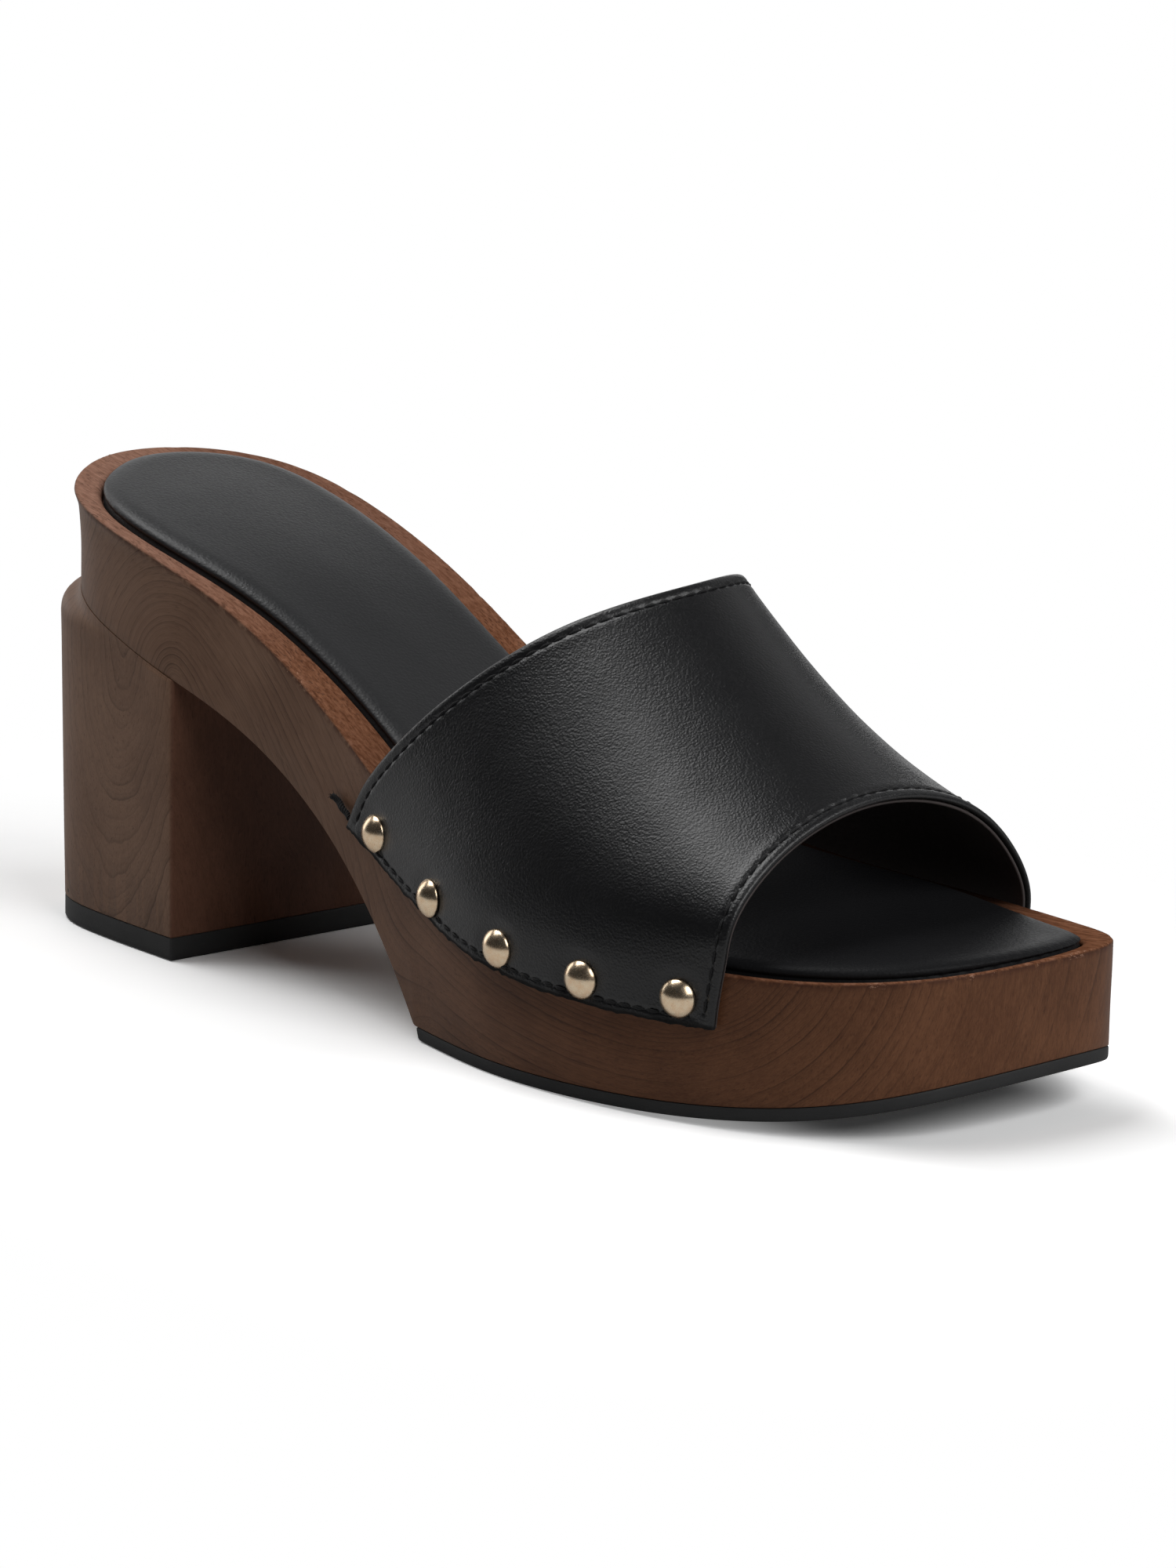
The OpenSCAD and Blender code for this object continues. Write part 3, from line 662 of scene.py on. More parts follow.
def sole_wood(name):
    m = Shader(name)
    grain = wood_grain(m, sole_rings, warp=(3.6, 0.7))
    x, y, _ = m.split(m.at)
    warm = m.fade(x, 45, 165)
    low = m.mix_color(warm, (0.156, 0.083, 0.051), (0.090, 0.0345, 0.0155))
    high = m.mix_color(warm, (0.244, 0.141, 0.091), (0.190, 0.081, 0.0390))
    color = wood_color(m, grain, low, high, grain.strength, ring_weight=0.52)
    top = m.attribute("rimtop")
    cut = m.noise(m.at*(0.16, 1.5, 1.0), detail=5, rough=0.7)
    # the rim under the band: where its painted shade goes, and where its wear is lessened
    under = (m.fade(x, SHIFT_X + 110.0, SHIFT_X + 122.0)
             * m.fade(x, SHIFT_X + 196.0, SHIFT_X + 208.0, before=1.0, after=0.0))
    color = m.mix_color(top, color, sanded_rim(m, x, y, grain.ripple, cut, under))
    rough = m.mix_value(top, grain.rough, 0.58 + cut*0.22)
    wear = m.attribute("wear")*under.times_plus(-0.93, 1.0)
    color, chipped = worn_edge(m, color, wear, top)
    rim_specular = m.fade(y, -6.0, 10.0, before=0.03, after=0.0)
    specular = m.mix_value(m.attribute("rimtop"), 0.17, rim_specular)
    coat = m.mix_value(m.attribute("rimtop"), 0.02, 0.0)
    return finish_wood(m, color, rough, grain.height - chipped*0.8, specular, coat)


# ---------------------------------------------------------------- leather and other materials
def leather(name, base, rough, grain, relief, specular, crease=0.0, cut_edge_coat=None,
            dull_shaded_forepart=False):
    """grain is the cell size in mm; cut_edge_coat is the coat of a skin with raw cut edges."""
    m = Shader(name)
    waver = m.noise(m.at, 1.4, vector=True)*0.5
    cell = m.cells(m.at + waver, 1.0/grain, smoothness=0.6)
    fine = m.noise(m.at, 3.6/grain, detail=3, rough=0.6)
    height = cell*-1.0 + fine*0.35
    if crease:
        height = height + m.noise(m.at*(0.5, 0.16, 0.5), detail=3, rough=0.6)*crease
    patch = m.noise(m.at, 0.05, detail=3, rough=0.6)
    low = tuple(c*0.72 for c in base)
    high = tuple(c*1.3 + 0.0012 for c in base)
    color = m.mix_color(patch*0.6 + fine*0.4, low, high)
    rough = rough + ((patch - 0.5)*0.10 + (cell - 0.4)*0.10)
    if cut_edge_coat is not None:
        # the cut lower edge: matt, darker, fibrous
        raw = m.attribute("raw")
        fuzz = m.noise(m.at, 2.4, detail=4, rough=0.7)
        fibres = m.mix_color(fuzz, (0.0030, 0.0030, 0.0032), (0.0150, 0.0142, 0.0138))
        color = m.mix_color(raw, color, fibres)
        rough = m.mix_value(raw, rough, 0.88)
        height = height + (raw*fuzz)*2.2
        specular = m.mix_value(raw, specular, 0.22)
        m.surface(Coat_Weight=m.mix_value(raw, cut_edge_coat, 0.0), Coat_Roughness=0.22)
    if dull_shaded_forepart:
        # painted shade: the forepart's colour is darkened, and its specular lowered
        fore = m.fade(m.split(m.at)[0], 85.0, 150.0)
        color = m.mix_color(fore*0.45, color, (0.004, 0.004, 0.0045))
        specular = m.mix_value(fore, specular, 0.08)
    m.surface(Base_Color=color, Roughness=rough, Specular_IOR_Level=specular)
    m.bump(height, strength=relief)
    return m.material


def rubber(name):
    m = Shader(name)
    fine = m.noise(m.at, 2.2, detail=3, rough=0.6)
    broad = m.noise(m.at, 0.12)
    color = m.mix_color(fine*0.5 + broad*0.5, (0.015, 0.015, 0.0153), (0.036, 0.036, 0.0366))
    scuff = m.fade(m.noise(m.at*(0.4, 0.4, 3.0), detail=3, rough=0.65), 0.60, 0.74)
    color = m.mix_color(scuff*0.25, color, (0.06, 0.058, 0.056))
    m.surface(Base_Color=color, Roughness=0.58 + fine*0.2, Specular_IOR_Level=0.35)
    m.bump(fine, strength=0.3, distance=0.00008)
    return m.material


def thread(name, base):
    m = Shader(name)
    x, y, z = m.split(m.at)
    slant = x*1.0 + (y*0.8 + z*1.2)
    twist = m.math("SINE", slant*9.0)
    fluff = m.noise(m.at, 5.0, detail=3, rough=0.6)
    color = m.mix_color(twist*0.3 + fluff, tuple(c*0.6 for c in base),
                        tuple(c*1.5 for c in base))
    m.surface(Base_Color=color, Roughness=0.58 + fluff*0.2, Specular_IOR_Level=0.26,
              Sheen_Weight=0.06, Sheen_Roughness=0.5)
    m.bump(twist*0.6 + fluff, strength=0.4, distance=0.00006)
    return m.material


def gold(name):
    m = Shader(name)
    broad = m.noise(m.at, 0.9, detail=3, rough=0.55)
    specks = m.noise(m.at, 5.0, rough=0.6)
    color = m.mix_color(m.fade(broad, 0.3, 0.7), (0.94, 0.69, 0.46), (1.0, 0.81, 0.58))
    m.surface(Base_Color=color, Metallic=1.0, Roughness=0.24 + m.fade(specks, 0.5, 0.75)*0.10)
    m.bump(broad + specks*0.15, strength=0.10)
    return m.material


def steel(name):
    m = Shader(name)
    brushed = m.noise(m.at*(4.0, 4.0, 0.6), detail=3, rough=0.6)
    m.surface(Base_Color=m.mix_color(brushed, (0.42, 0.42, 0.43), (0.62, 0.62, 0.62)),
              Metallic=1.0, Roughness=0.3 + brushed*0.15)
    m.bump(brushed, strength=0.2, distance=0.00005)
    return m.material


def fibreboard(name):
    m = Shader(name)
    fibre = m.noise(m.at*(0.7, 2.4, 2.4), detail=4, rough=0.7)
    specks = m.fade(m.noise(m.at, 1.6, rough=0.6), 0.6, 0.7)
    color = m.mix_color(fibre, (0.16, 0.105, 0.06), (0.33, 0.235, 0.15))
    color = m.mix_color(specks*0.5, color, (0.08, 0.05, 0.03))
    m.surface(Base_Color=color, Roughness=0.85)
    m.bump(fibre, strength=0.5)
    return m.material


def foam(name):
    m = Shader(name)
    bubbles = m.cells(m.at, 1.3)
    tone = m.noise(m.at, 0.3, detail=3, rough=0.6)
    color = m.mix_color(bubbles*0.7 + tone*0.3, (0.42, 0.36, 0.24), (0.66, 0.60, 0.46))
    m.surface(Base_Color=color, Roughness=0.92)
    m.bump(bubbles, strength=0.6, distance=0.0002)
    return m.material


def felt(name):
    m = Shader(name)
    fluff = m.noise(m.at, 2.5, detail=5, rough=0.75)
    weave = m.cells(m.at*(1.0, 3.0, 1.0), 0.9)
    color = m.mix_color(fluff*0.7 + weave*0.3, (0.40, 0.37, 0.31), (0.62, 0.59, 0.52))
    m.surface(Base_Color=color, Roughness=0.95)
    m.bump(fluff, strength=0.6)
    return m.material


SOLE_WOOD = sole_wood("WoodSole")
HEEL_WOOD = heel_wood("WoodHeel")
UPPER = leather("UpperLeather", (0.0048, 0.0048, 0.0056), rough=0.34, grain=0.46, relief=0.66,
                specular=0.5, cut_edge_coat=0.14)
INSOLE = leather("InsoleLeather", (0.0155, 0.0157, 0.0170), rough=0.46, grain=0.62,
                 relief=0.55, specular=0.5, crease=0.30, dull_shaded_forepart=True)
LINING = leather("LiningLeather", (0.0600, 0.0490, 0.0470), rough=0.60, grain=0.8, relief=0.3,
                 specular=0.28)
RUBBER = rubber("Rubber")
THREAD = thread("Thread", (0.0052, 0.0052, 0.0058))
GOLD = gold("StudMetal")
STEEL = steel("Steel")
BOARD = fibreboard("Fibreboard")
FOAM = foam("Foam")
FELT = felt("Interlining")

DETAIL = 1.0

# ---------------------------------------------------------------- wooden sole
# Nicks along the rim's outer edge: place along the outline, width and depth.
NICKS = 46
NICK_PLACE = rng.uniform(0, RUN_LENGTH[-1], NICKS)
NICK_WIDTH = rng.uniform(0.6, 2.2, NICKS)
NICK_DEPTH = rng.uniform(0.03, 0.13, NICKS)
NICK_DEPTH = NICK_DEPTH*np.where(rng.uniform(size=NICKS) < 0.15, 1.8, 1.0)


def nick(s):
    away = np.abs(length_at(np.mod(s, TURN))[:, None] - NICK_PLACE[None])
    away = np.minimum(away, RUN_LENGTH[-1] - away)
    return (np.exp(-(away/NICK_WIDTH)**2)*NICK_DEPTH).sum(1)


def burr(s):
    """How far small rough points stand out on the rim's rear and inner edge."""
    s = np.mod(s, TURN)

    def waves(frequency, y, z):
        return np.array([noise.noise(Vector((q*frequency, y, z))) for q in length_at(s)])
    points = waves(1.6, 4.0, 9.0) + 0.6*waves(4.1, 2.0, 1.0)
    where = 0.5 + 0.9*waves(0.12, 8.0, 3.0)
    back = np.maximum(smooth(13.0, 14.5, s), 1 - smooth(0.2, 2.6, s))
    return np.clip(points - 0.08, 0, 1)*np.clip(where, 0, 1)*back*0.55


def through_knots(v, places, values):
    """Smooth curve through four knots at v, for every outline point at once."""
    places = [place*np.ones_like(values[0]) for place in places]
    slopes = [(values[i+1] - values[i])/(places[i+1] - places[i]) for i in range(3)]
    tangents = [slopes[0]*0.3]
    for a, b in zip(slopes, slopes[1:]):
        shared = 2*a*b/(a + b + 1e-12*np.sign(b + 1e-30))
        tangents.append(np.where(a*b > 0, shared, 0))
    tangents.append(slopes[2]*1.2)
    result = np.zeros_like(values[0])
    for i in range(3):
        span = places[i+1] - places[i]
        t = np.clip((v - places[i])/span, 0, 1)
        value = ((2*t**3 - 3*t*t + 1)*values[i] + (t**3 - 2*t*t + t)*span*tangents[i]
                 + (-2*t**3 + 3*t*t)*values[i+1] + (t**3 - t*t)*span*tangents[i+1])
        inside = (v >= places[i] - 1e-9) & (v <= places[i+1] + 1e-9)
        result = np.where(inside, value, result)
    return result


def wall_cut(v, x):
    """Inset of the wall at share v of its height."""
    height = top_z(x) - under_z(x)
    high = (height - 3.5)/(height - EDGE_RADIUS)
    return through_knots(v, [0.0, 0.35, high, 1.0], [cut_low(x), cut_mid(x), cut_high(x), 0*x])


def sole_layers():
    """Layers from the underside up the wall and over the rim into the recess, with the
    wear and rim-top shares of each."""
    stations = [(0, TURN)]
    stations += [(outline_at(x, OUTER), outline_at(x, INNER)) for x in (BREAST_X, OUTSOLE_X)]
    ends = rows(stations + [(TOE, TOE)], [int(110*DETAIL), int(110*DETAIL), int(230*DETAIL)])
    layers, wear, rim_top = [], [], []

    def add(cut, height, worn=0.0, top=0.0):
        layers.append(layer(ends, cut, height, 14))
        wear.append(worn)
        rim_top.append(top)

    # underside and its rounded edge
    low_radius = 0.25
    add(lambda s, x: cut_low(x) + 0.3, under_z)
    for share in (0.33, 0.66, 1.0):
        a = share*math.pi/2
        add(lambda s, x: cut_low(x) + low_radius*(1 - math.sin(a)),
            lambda x: under_z(x) + low_radius*(1 - math.cos(a)), 0.15*(1 - share))
    # wall
    steps = 16
    for i in range(1, steps):
        v = (i/steps)**0.85
        add(lambda s, x: wall_cut(v, x),
            lambda x: mix(under_z(x) + low_radius, top_z(x) - EDGE_RADIUS, v),
            float(smooth(0.93, 1.0, v))*0.5)
    # rounded outer edge with its nicks and burrs
    for share in (0.0, 0.25, 0.5, 0.75, 1.0):
        a = share*math.pi/2
        add(lambda s, x: (EDGE_RADIUS*(1 - math.cos(a)) + nick(s)*(0.6 + 0.6*share)
                          - burr(s)*math.sin(math.pi*min(1.0, 0.25 + share))),
            lambda x: top_z(x) - EDGE_RADIUS + EDGE_RADIUS*math.sin(a),
            1.0, float(smooth(0.0, 0.5, share)))
    # flat of the rim: share of its width, wear
    for share, worn in ((0.08, 0.75), (0.25, 0.35), (0.5, 0.1), (0.75, 0.0), (1.0, 0.0)):
        add(lambda s, x: mix(EDGE_RADIUS + 0.35, rim_width(s) - 0.15 - RECESS_RADIUS, share),
            lambda x: top_z(x) - 0.1*share, worn, 1.0)
    # rounded edge and floor of the recess
    for share in (0.3, 0.6, 0.85, 1.0):
        a = share*math.pi/2
        add(lambda s, x: rim_width(s) - 0.15 - RECESS_RADIUS + RECESS_RADIUS*math.sin(a),
            lambda x: top_z(x) - 0.1 - RECESS_RADIUS*(1 - math.cos(a)), top=1.0)
    add(lambda s, x: rim_width(s) - 0.08, lambda x: top_z(x) - RECESS, top=0.9)
    return layers, np.array(wear), np.array(rim_top)


def build_sole():
    layers, wear, rim_top = sole_layers()
    verts, faces, number = layered(layers)
    piece("Sole_Wood", (verts, faces), SOLE_WOOD, 38, "sole_block",
          {"wear": wear[number], "rimtop": rim_top[number]})


build_sole()

# ---------------------------------------------------------------- heel block and tip
HEEL_CONTROLS = np.pad(HEEL, ((2, 2), (0, 0)), mode="edge")
HEEL_SPANS = len(HEEL_CONTROLS) - 3
HEEL_CENTRE = np.array([24.0, 0.0])
# distances from a breast corner to the points that round it
CORNER_STEPS = np.array([0.16, 0.34, 0.55])


def heel_point(u):
    i = np.clip(np.floor(u).astype(int), 0, HEEL_SPANS - 1)
    return sum(w[:, None]*HEEL_CONTROLS[i + k] for k, w in enumerate(basis(u - i)))


def heel_inward(u):
    """Direction in from the heel's curve, turned square to x near the breast corners."""
    step = 0.1
    along = unit(heel_point(np.minimum(HEEL_SPANS - step, u + step))
                 - heel_point(np.maximum(step, u - step)))
    normal = np.stack([along[..., 1], -along[..., 0]], -1)
    square = np.stack([0*u, np.where(normal[..., 1] > 0, 1.0, -1.0)], -1)
    from_corner = np.minimum(u, HEEL_SPANS - u)
    side = unit(mix(square, normal, smooth(0.9, 1.9, from_corner)[..., None]))
    sign = np.sign((side*(HEEL_CENTRE - heel_point(u))).sum(-1))
    return side*np.where(sign == 0, 1, sign)[..., None]


def heel_parameters():
    """Evenly spaced from one breast corner to the other, closer at the corners."""
    u = np.linspace(0, HEEL_SPANS, 4001)
    length = run_length(heel_point(u))
    tail = np.concatenate([[0.0], CORNER_STEPS])
    between = np.linspace(0.9, length[-1] - 0.9, int(200*DETAIL))
    return np.interp(np.concatenate([tail, between, length[-1] - tail[::-1]]), length, u)


HEEL_U = heel_parameters()
HEEL_XY = heel_point(HEEL_U)
FROM_BACK = abs(HEEL_U - HEEL_SPANS/2)/(HEEL_SPANS/2)
FULL_FLARE = -heel_inward(HEEL_U)*(FLARE*(1 - smooth(0.7, 1, FROM_BACK)))[:, None]


def ledge_share(x):
    return 1 - smooth(-4, 50, x)


def wall_over(points):
    """Where rays from the heel's middle through the points meet the wall above the ledge."""
    def wall(s):
        s = np.mod(s, TURN)
        return plan(s, cut_low(on_ring(OUTLINE, s)[:, 0]) - 0.05)
    s = np.linspace(-5, 5, 4001)
    ray = wall(s) - HEEL_CENTRE
    wall_angle = np.unwrap(np.arctan2(ray[:, 1], ray[:, 0]))
    ray = points - HEEL_CENTRE
    base = wall_angle[len(wall_angle)//2]
    turned = np.arctan2(ray[:, 1], ray[:, 0]) - base
    angle = base + np.mod(turned + math.pi, 2*math.pi) - math.pi
    order = np.argsort(wall_angle)
    met = wall(np.interp(angle, wall_angle[order], s[order]))
    return mix(points, met, (1 - smooth(0.6, 0.98, FROM_BACK))[:, None])


def round_corner(loop, corner):
    """The seven points about a corner slide onto an arc."""
    ids = (corner + np.arange(-3, 4)) % len(loop)
    before, tip, after = loop[ids[[0, 3, 6]]]
    t = np.linspace(0, 1, 7)[:, None]
    loop[ids] = (1 - t)**2*before + 2*t*(1 - t)*tip + t*t*after


def heel_loop(curve, height, inset=0.0):
    """The heel's curve closed by the breast line, with rounded corners; height(x) is its z."""
    a, b = curve[0], curve[-1]
    width = np.linalg.norm(b - a)
    near = CORNER_STEPS/width
    w = np.concatenate([near, np.linspace(1.0/width, 1 - 1.0/width, 21), 1 - near[::-1]])
    loop = np.concatenate([curve, b + (a - b)*w[:, None]])
    round_corner(loop, len(curve) - 1)
    round_corner(loop, 0)
    along = np.roll(loop, -1, 0) - np.roll(loop, 1, 0)
    side = unit(np.stack([-along[:, 1], along[:, 0]], -1))
    sign = np.sign(np.sign((side*(HEEL_CENTRE - loop)).sum(-1)).mean())
    loop = loop + side*sign*inset
    return np.concatenate([loop, height(loop[:, 0])[:, None]], -1)


def ragged(loop, size, seed):
    """Makes the loop's height a little uneven."""
    flat = loop*np.array([1, 1, 0])
    loop[:, 2] += size*(soft_noise(flat, 1.5, seed) + 0.6*soft_noise(flat, 0.6, seed + 5))
    return loop


# Over the rounded ledge: share of the way in, share of the rise.
LEDGE_STEPS = [(-0.012, -0.10), (-0.006, -0.02), (0.008, 0.07), (0.035, 0.15), (0.08, 0.23),
               (0.15, 0.31), (0.25, 0.385), (0.38, 0.455), (0.52, 0.525), (0.66, 0.60),
               (0.79, 0.69), (0.89, 0.79), (0.96, 0.90), (1.0, 1.0)]
# The tip's side: height, inset.
TIP_STEPS = [(0.0, 0.75), (0.06, 0.45), (0.22, 0.2), (0.5, 0.06), (1.4, 0.03), (2.6, 0.03),
             (TIP_THICK - 0.35, 0.04), (TIP_THICK - 0.1, 0.12), (TIP_THICK, 0.32)]


def build_heel():
    loops = []
    for share in (0.0, 0.5, 1.0):
        foot = heel_loop(HEEL_XY, lambda x: x*0 + TIP_THICK + 0.02 + 0.24*share,
                         inset=0.22*(1 - share))
        loops.append(ragged(foot, 0.16*share, 2.7))
    for share in (0.25, 0.5, 0.75, 0.9):
        def wall_z(x):
            under_ledge = seat_z(x) - SEAT_GAP - 0.8 - (LEDGE + 1.0)*ledge_share(x)
            return mix(TIP_THICK + 0.3, under_ledge, share)
        loops.append(heel_loop(HEEL_XY + share**0.9*FULL_FLARE, wall_z))
    flared = HEEL_XY + FULL_FLARE
    top = wall_over(flared)
    for way_in, rise in LEDGE_STEPS:
        def ledge_z(x):
            return seat_z(x) - SEAT_GAP - (0.8 + LEDGE*ledge_share(x))*(1 - rise)
        loops.append(heel_loop(mix(flared, top, way_in), ledge_z))
    piece("Heel_Block_Wood", stack(loops), HEEL_WOOD, 40, "heel_block")


def build_heel_tip():
    loops = []
    for z, inset in TIP_STEPS:
        size = 0.14 if TIP_THICK - 0.5 < z < TIP_THICK else 0.0
        loops.append(ragged(heel_loop(HEEL_XY, lambda x: x*0 + z, inset), size, 6.1))
    piece("Heel_Tip_Rubber", stack(loops), RUBBER, 40, "heel_tip")


build_heel()
build_heel_tip()

# ---------------------------------------------------------------- outsole
# From the ground up: x of the rear edge, inset from the sole's wall, height above the tread.
OUTSOLE_STEPS = [
    (124.2, 0.65, 0.0), (123.9, 0.42, 0.05), (123.65, 0.18, 0.22), (123.4, 0.04, 0.5),
    (123.1, 0.0, 1.1), (122.8, 0.0, 1.8), (OUTSOLE_X, 0.02, OUTSOLE_THICK - 0.3),
    (OUTSOLE_X, 0.10, OUTSOLE_THICK - 0.13), (122.7, 0.3, OUTSOLE_THICK - 0.05)]


def build_outsole():
    layers = []
    for rear_x, inset, lift in OUTSOLE_STEPS:
        rear = (outline_at(rear_x, OUTER), outline_at(rear_x, INNER))
        ends = rows([rear, (TOE, TOE)], [int(260*DETAIL)])
        layers.append(layer(ends, lambda s, x: cut_low(x) + inset,
                            lambda x: tread_z(x) + lift, 20))
    piece("Outsole_Rubber", layered(layers)[:2], RUBBER, 40, "outsole")


build_outsole()

# ---------------------------------------------------------------- insole
WHOLE_SOLE = [(0, TURN), (TOE, TOE)]
COVER_ROWS = rows(WHOLE_SOLE, [int(380*DETAIL)])
CORE_ROWS = rows(WHOLE_SOLE, [150])


def pad_edge(s):
    return rim_width(s) + 0.7


def pad_layer(inset, lift, crown=0.0, pucker=0.0):
    def cut(s, x):
        # puckers where the leather turns over the pad's edge, strongest at the toe
        s = np.mod(s, TURN)
        depth = np.exp(-((s - TOE)/1.1)**2)*0.09 + 0.015
        run = length_at(s)
        waves = np.sin(run*2.1) + 0.7*np.sin(run*3.7 + 1.0) + 0.5*np.sin(run*1.13 + 2)
        return pad_edge(s) + inset + depth*waves*pucker
    grid = layer(COVER_ROWS, cut, lambda x: top_z(x) + lift, 40)
    if crown:
        # the crown rises with the distance from the layer's own border
        border = np.concatenate([grid[:, 0, :2], grid[::-1, -1, :2]])[None]
        chunks = np.array_split(grid[..., :2].reshape(-1, 2), 40)
        far = np.concatenate([np.linalg.norm(c[:, None] - border, axis=-1).min(1)
                              for c in chunks])
        grid[..., 2] += crown*smooth(0, 20, far).reshape(grid.shape[:2])
    return grid


def build_cover():
    inside = [pad_layer(5.3, CROWN - COVER_THICK - 0.25, crown=0.25),
              pad_layer(2.9, CROWN - 1.55), pad_layer(1.8, CROWN - 2.1),
              pad_layer(1.1, CROWN - 2.9)]
    edge = [pad_layer(1.1, -RECESS + 0.1), pad_layer(-0.5, -RECESS + 0.1),
            pad_layer(-0.5, -1.0), pad_layer(-0.3, -0.4), pad_layer(-0.15, 0.0, pucker=0.3)]
    # the rolled upper edge follows a Bezier curve of (inset, lift)
    bend = np.array([[-0.1, 0.15], [-1.25, 1.0], [-0.25, 2.78], [5.0, CROWN - 0.22]])
    roll = []
    for i, t in enumerate(np.linspace(0, 1, 11)):
        weights = np.array([(1 - t)**3, 3*t*(1 - t)**2, 3*t*t*(1 - t), t**3])
        grid = pad_layer(*(weights @ bend), crown=0.25*t**3, pucker=1.0 - 0.6*t)
        # slow unevenness of the padded surface
        flat = grid*np.array([1, 1, 0.3])
        uneven = 0.10*soft_noise(flat, 26.0, 3.1) + 0.05*soft_noise(flat, 9.0, 8.7)
        grid[..., 2] += uneven*i/10.0
        # the pad thins out to the rim's height at the inner toe corner
        corner = smooth(182, 224, grid[..., 0])*smooth(-14, 24, grid[..., 1])
        grid[..., 2] -= 0.95*smooth(0.0, 5.0, i)*corner
        roll.append(grid)
    piece("Insole_Cover_Leather", layered(inside + edge + roll)[:2], INSOLE, 50,
          "insole_cover")


def core_layers(steps):
    """Layers inside the cover from (inset, lift above the top profile)."""
    return [layer(CORE_ROWS, lambda s, x: pad_edge(s) + COVER_THICK + inset,
                  lambda x: top_z(x) + lift, 14) for inset, lift in steps]


def build_insole_core():
    low = -RECESS + 0.1
    board = core_layers([(0.25, low), (0.02, low + 0.2), (0.02, low + BOARD_THICK - 0.2),
                         (0.25, low + BOARD_THICK)])
    piece("Insole_Board", layered(board)[:2], BOARD, 40, "insole_board")
    low = low + BOARD_THICK + 0.08
    pad = core_layers([(0.45, low), (0.3, low + 0.1), (0.35, CROWN - 3.0), (0.9, CROWN - 2.25),
                       (2.0, CROWN - 1.7), (4.4, CROWN - COVER_THICK - 0.55)])
    across = np.linspace(-1, 1, pad[-1].shape[1])
    pad[-1][..., 2] += 0.25*(1 - across**2)
    piece("Insole_Foam", layered(pad)[:2], FOAM, 50, "insole_foam")


build_cover()
build_insole_core()

# ---------------------------------------------------------------- the leather band's surface
BAND_CORE = np.array([150, 0, 20.0])    # a point inside the band


def wall_point(x, z, side):
    """On the band's outer face where it stands along the sole's wall."""
    spot = plan(outline_at(x, side), -UPPER_THICK)
    return np.concatenate([spot, np.asarray(z)[..., None]], -1)


def wall_normal(x, side):
    out = -inward(outline_at(x, side))
    return np.concatenate([out, 0*out[..., :1]], -1)


def section_controls(t):
    """Control points of the band's cross sections, t from its rear edge to its front."""
    weights = [(1 - t)**3, 3*t*(1 - t)**2, 3*t*t*(1 - t), t**3]
    over = sum(w[:, None, None]*station[None] for w, station in zip(weights, OVER))
    x = [mix(rear, front, t) for rear, front in zip(REAR_X, FRONT_X)]
    low = on_profile(x[0], BAND_LOW)
    high = top_z(x[2]) + 3
    heights = [low, (low + high)/2, high]
    a, b = ([wall_point(*place, side) for place in zip(x, heights)] for side in (OUTER, INNER))
    across = [over[:, i] for i in range(over.shape[1])]
    return np.stack([a[0], a[0], *a, *across, *b[::-1], b[0], b[0]], 1)


def on_section(controls, u):
    i = np.clip(np.floor(u).astype(int), 0, 11)
    n = np.arange(len(u))
    return sum(w[:, None]*controls[n, i + k] for k, w in enumerate(basis(u - i)))


# Section parameter at even shares of each section's length, and those lengths.
SECTIONS, SHARES = 161, 801
SECTION_T = np.linspace(0, 1, SECTIONS)
SECTION_U = np.zeros((SECTIONS, SHARES))
SECTION_LENGTH = np.zeros(SECTIONS)
for i, controls in enumerate(section_controls(SECTION_T)):
    u = np.linspace(0, 12, 1201)
    run = run_length(on_section(np.repeat(controls[None], len(u), 0), u))
    SECTION_LENGTH[i] = run[-1]
    SECTION_U[i] = np.interp(np.linspace(0, 1, SHARES), run/run[-1], u)
MEAN_LENGTH = float(SECTION_LENGTH.mean())
REAR_LENGTH, FRONT_LENGTH = float(SECTION_LENGTH[0]), float(SECTION_LENGTH[-1])


def band_point(t, f):
    """On the band's outer face: t from the rear edge to the front, f along the section from
    the outer side."""
    t, f = np.broadcast_arrays(np.clip(t, 0, 1), np.clip(f, 0, 1))
    shape = t.shape
    t, f = t.ravel(), f.ravel()
    a, b = t*(SECTIONS - 1), f*(SHARES - 1)
    i = np.clip(a.astype(int), 0, SECTIONS - 2)
    j = np.clip(b.astype(int), 0, SHARES - 2)
    a = a - i
    b = b - j
    u = (SECTION_U[i, j]*(1-a)*(1-b) + SECTION_U[i+1, j]*a*(1-b)
         + SECTION_U[i, j+1]*(1-a)*b + SECTION_U[i+1, j+1]*a*b)
    return on_section(section_controls(t), u).reshape(*shape, 3)


def facing_out(normals, points):
    return -normals if ((points - BAND_CORE)*normals).sum() < 0 else normals


def band_rows(f, edge, middle):
    """t of rows at the edge distances from both edges and at middle shares of the rest.
    Returns t, the distance from the rear edge, and the whole length, for every f."""
    t = np.linspace(0, 1, 241)
    steps = np.diff(band_point(t[:, None], f[None]), axis=0)
    run = np.concatenate([np.zeros((1, len(f))),
                          np.cumsum(np.linalg.norm(steps, axis=2), axis=0)])
    whole = run[-1]
    distance = np.array([np.concatenate([edge, edge[-1] + (w - 2*edge[-1])*middle,
                                         w - edge[::-1]]) for w in whole]).T
    rows_t = [np.interp(distance[:, j], run[:, j], t) for j in range(len(f))]
    return np.array(rows_t).T, distance, whole


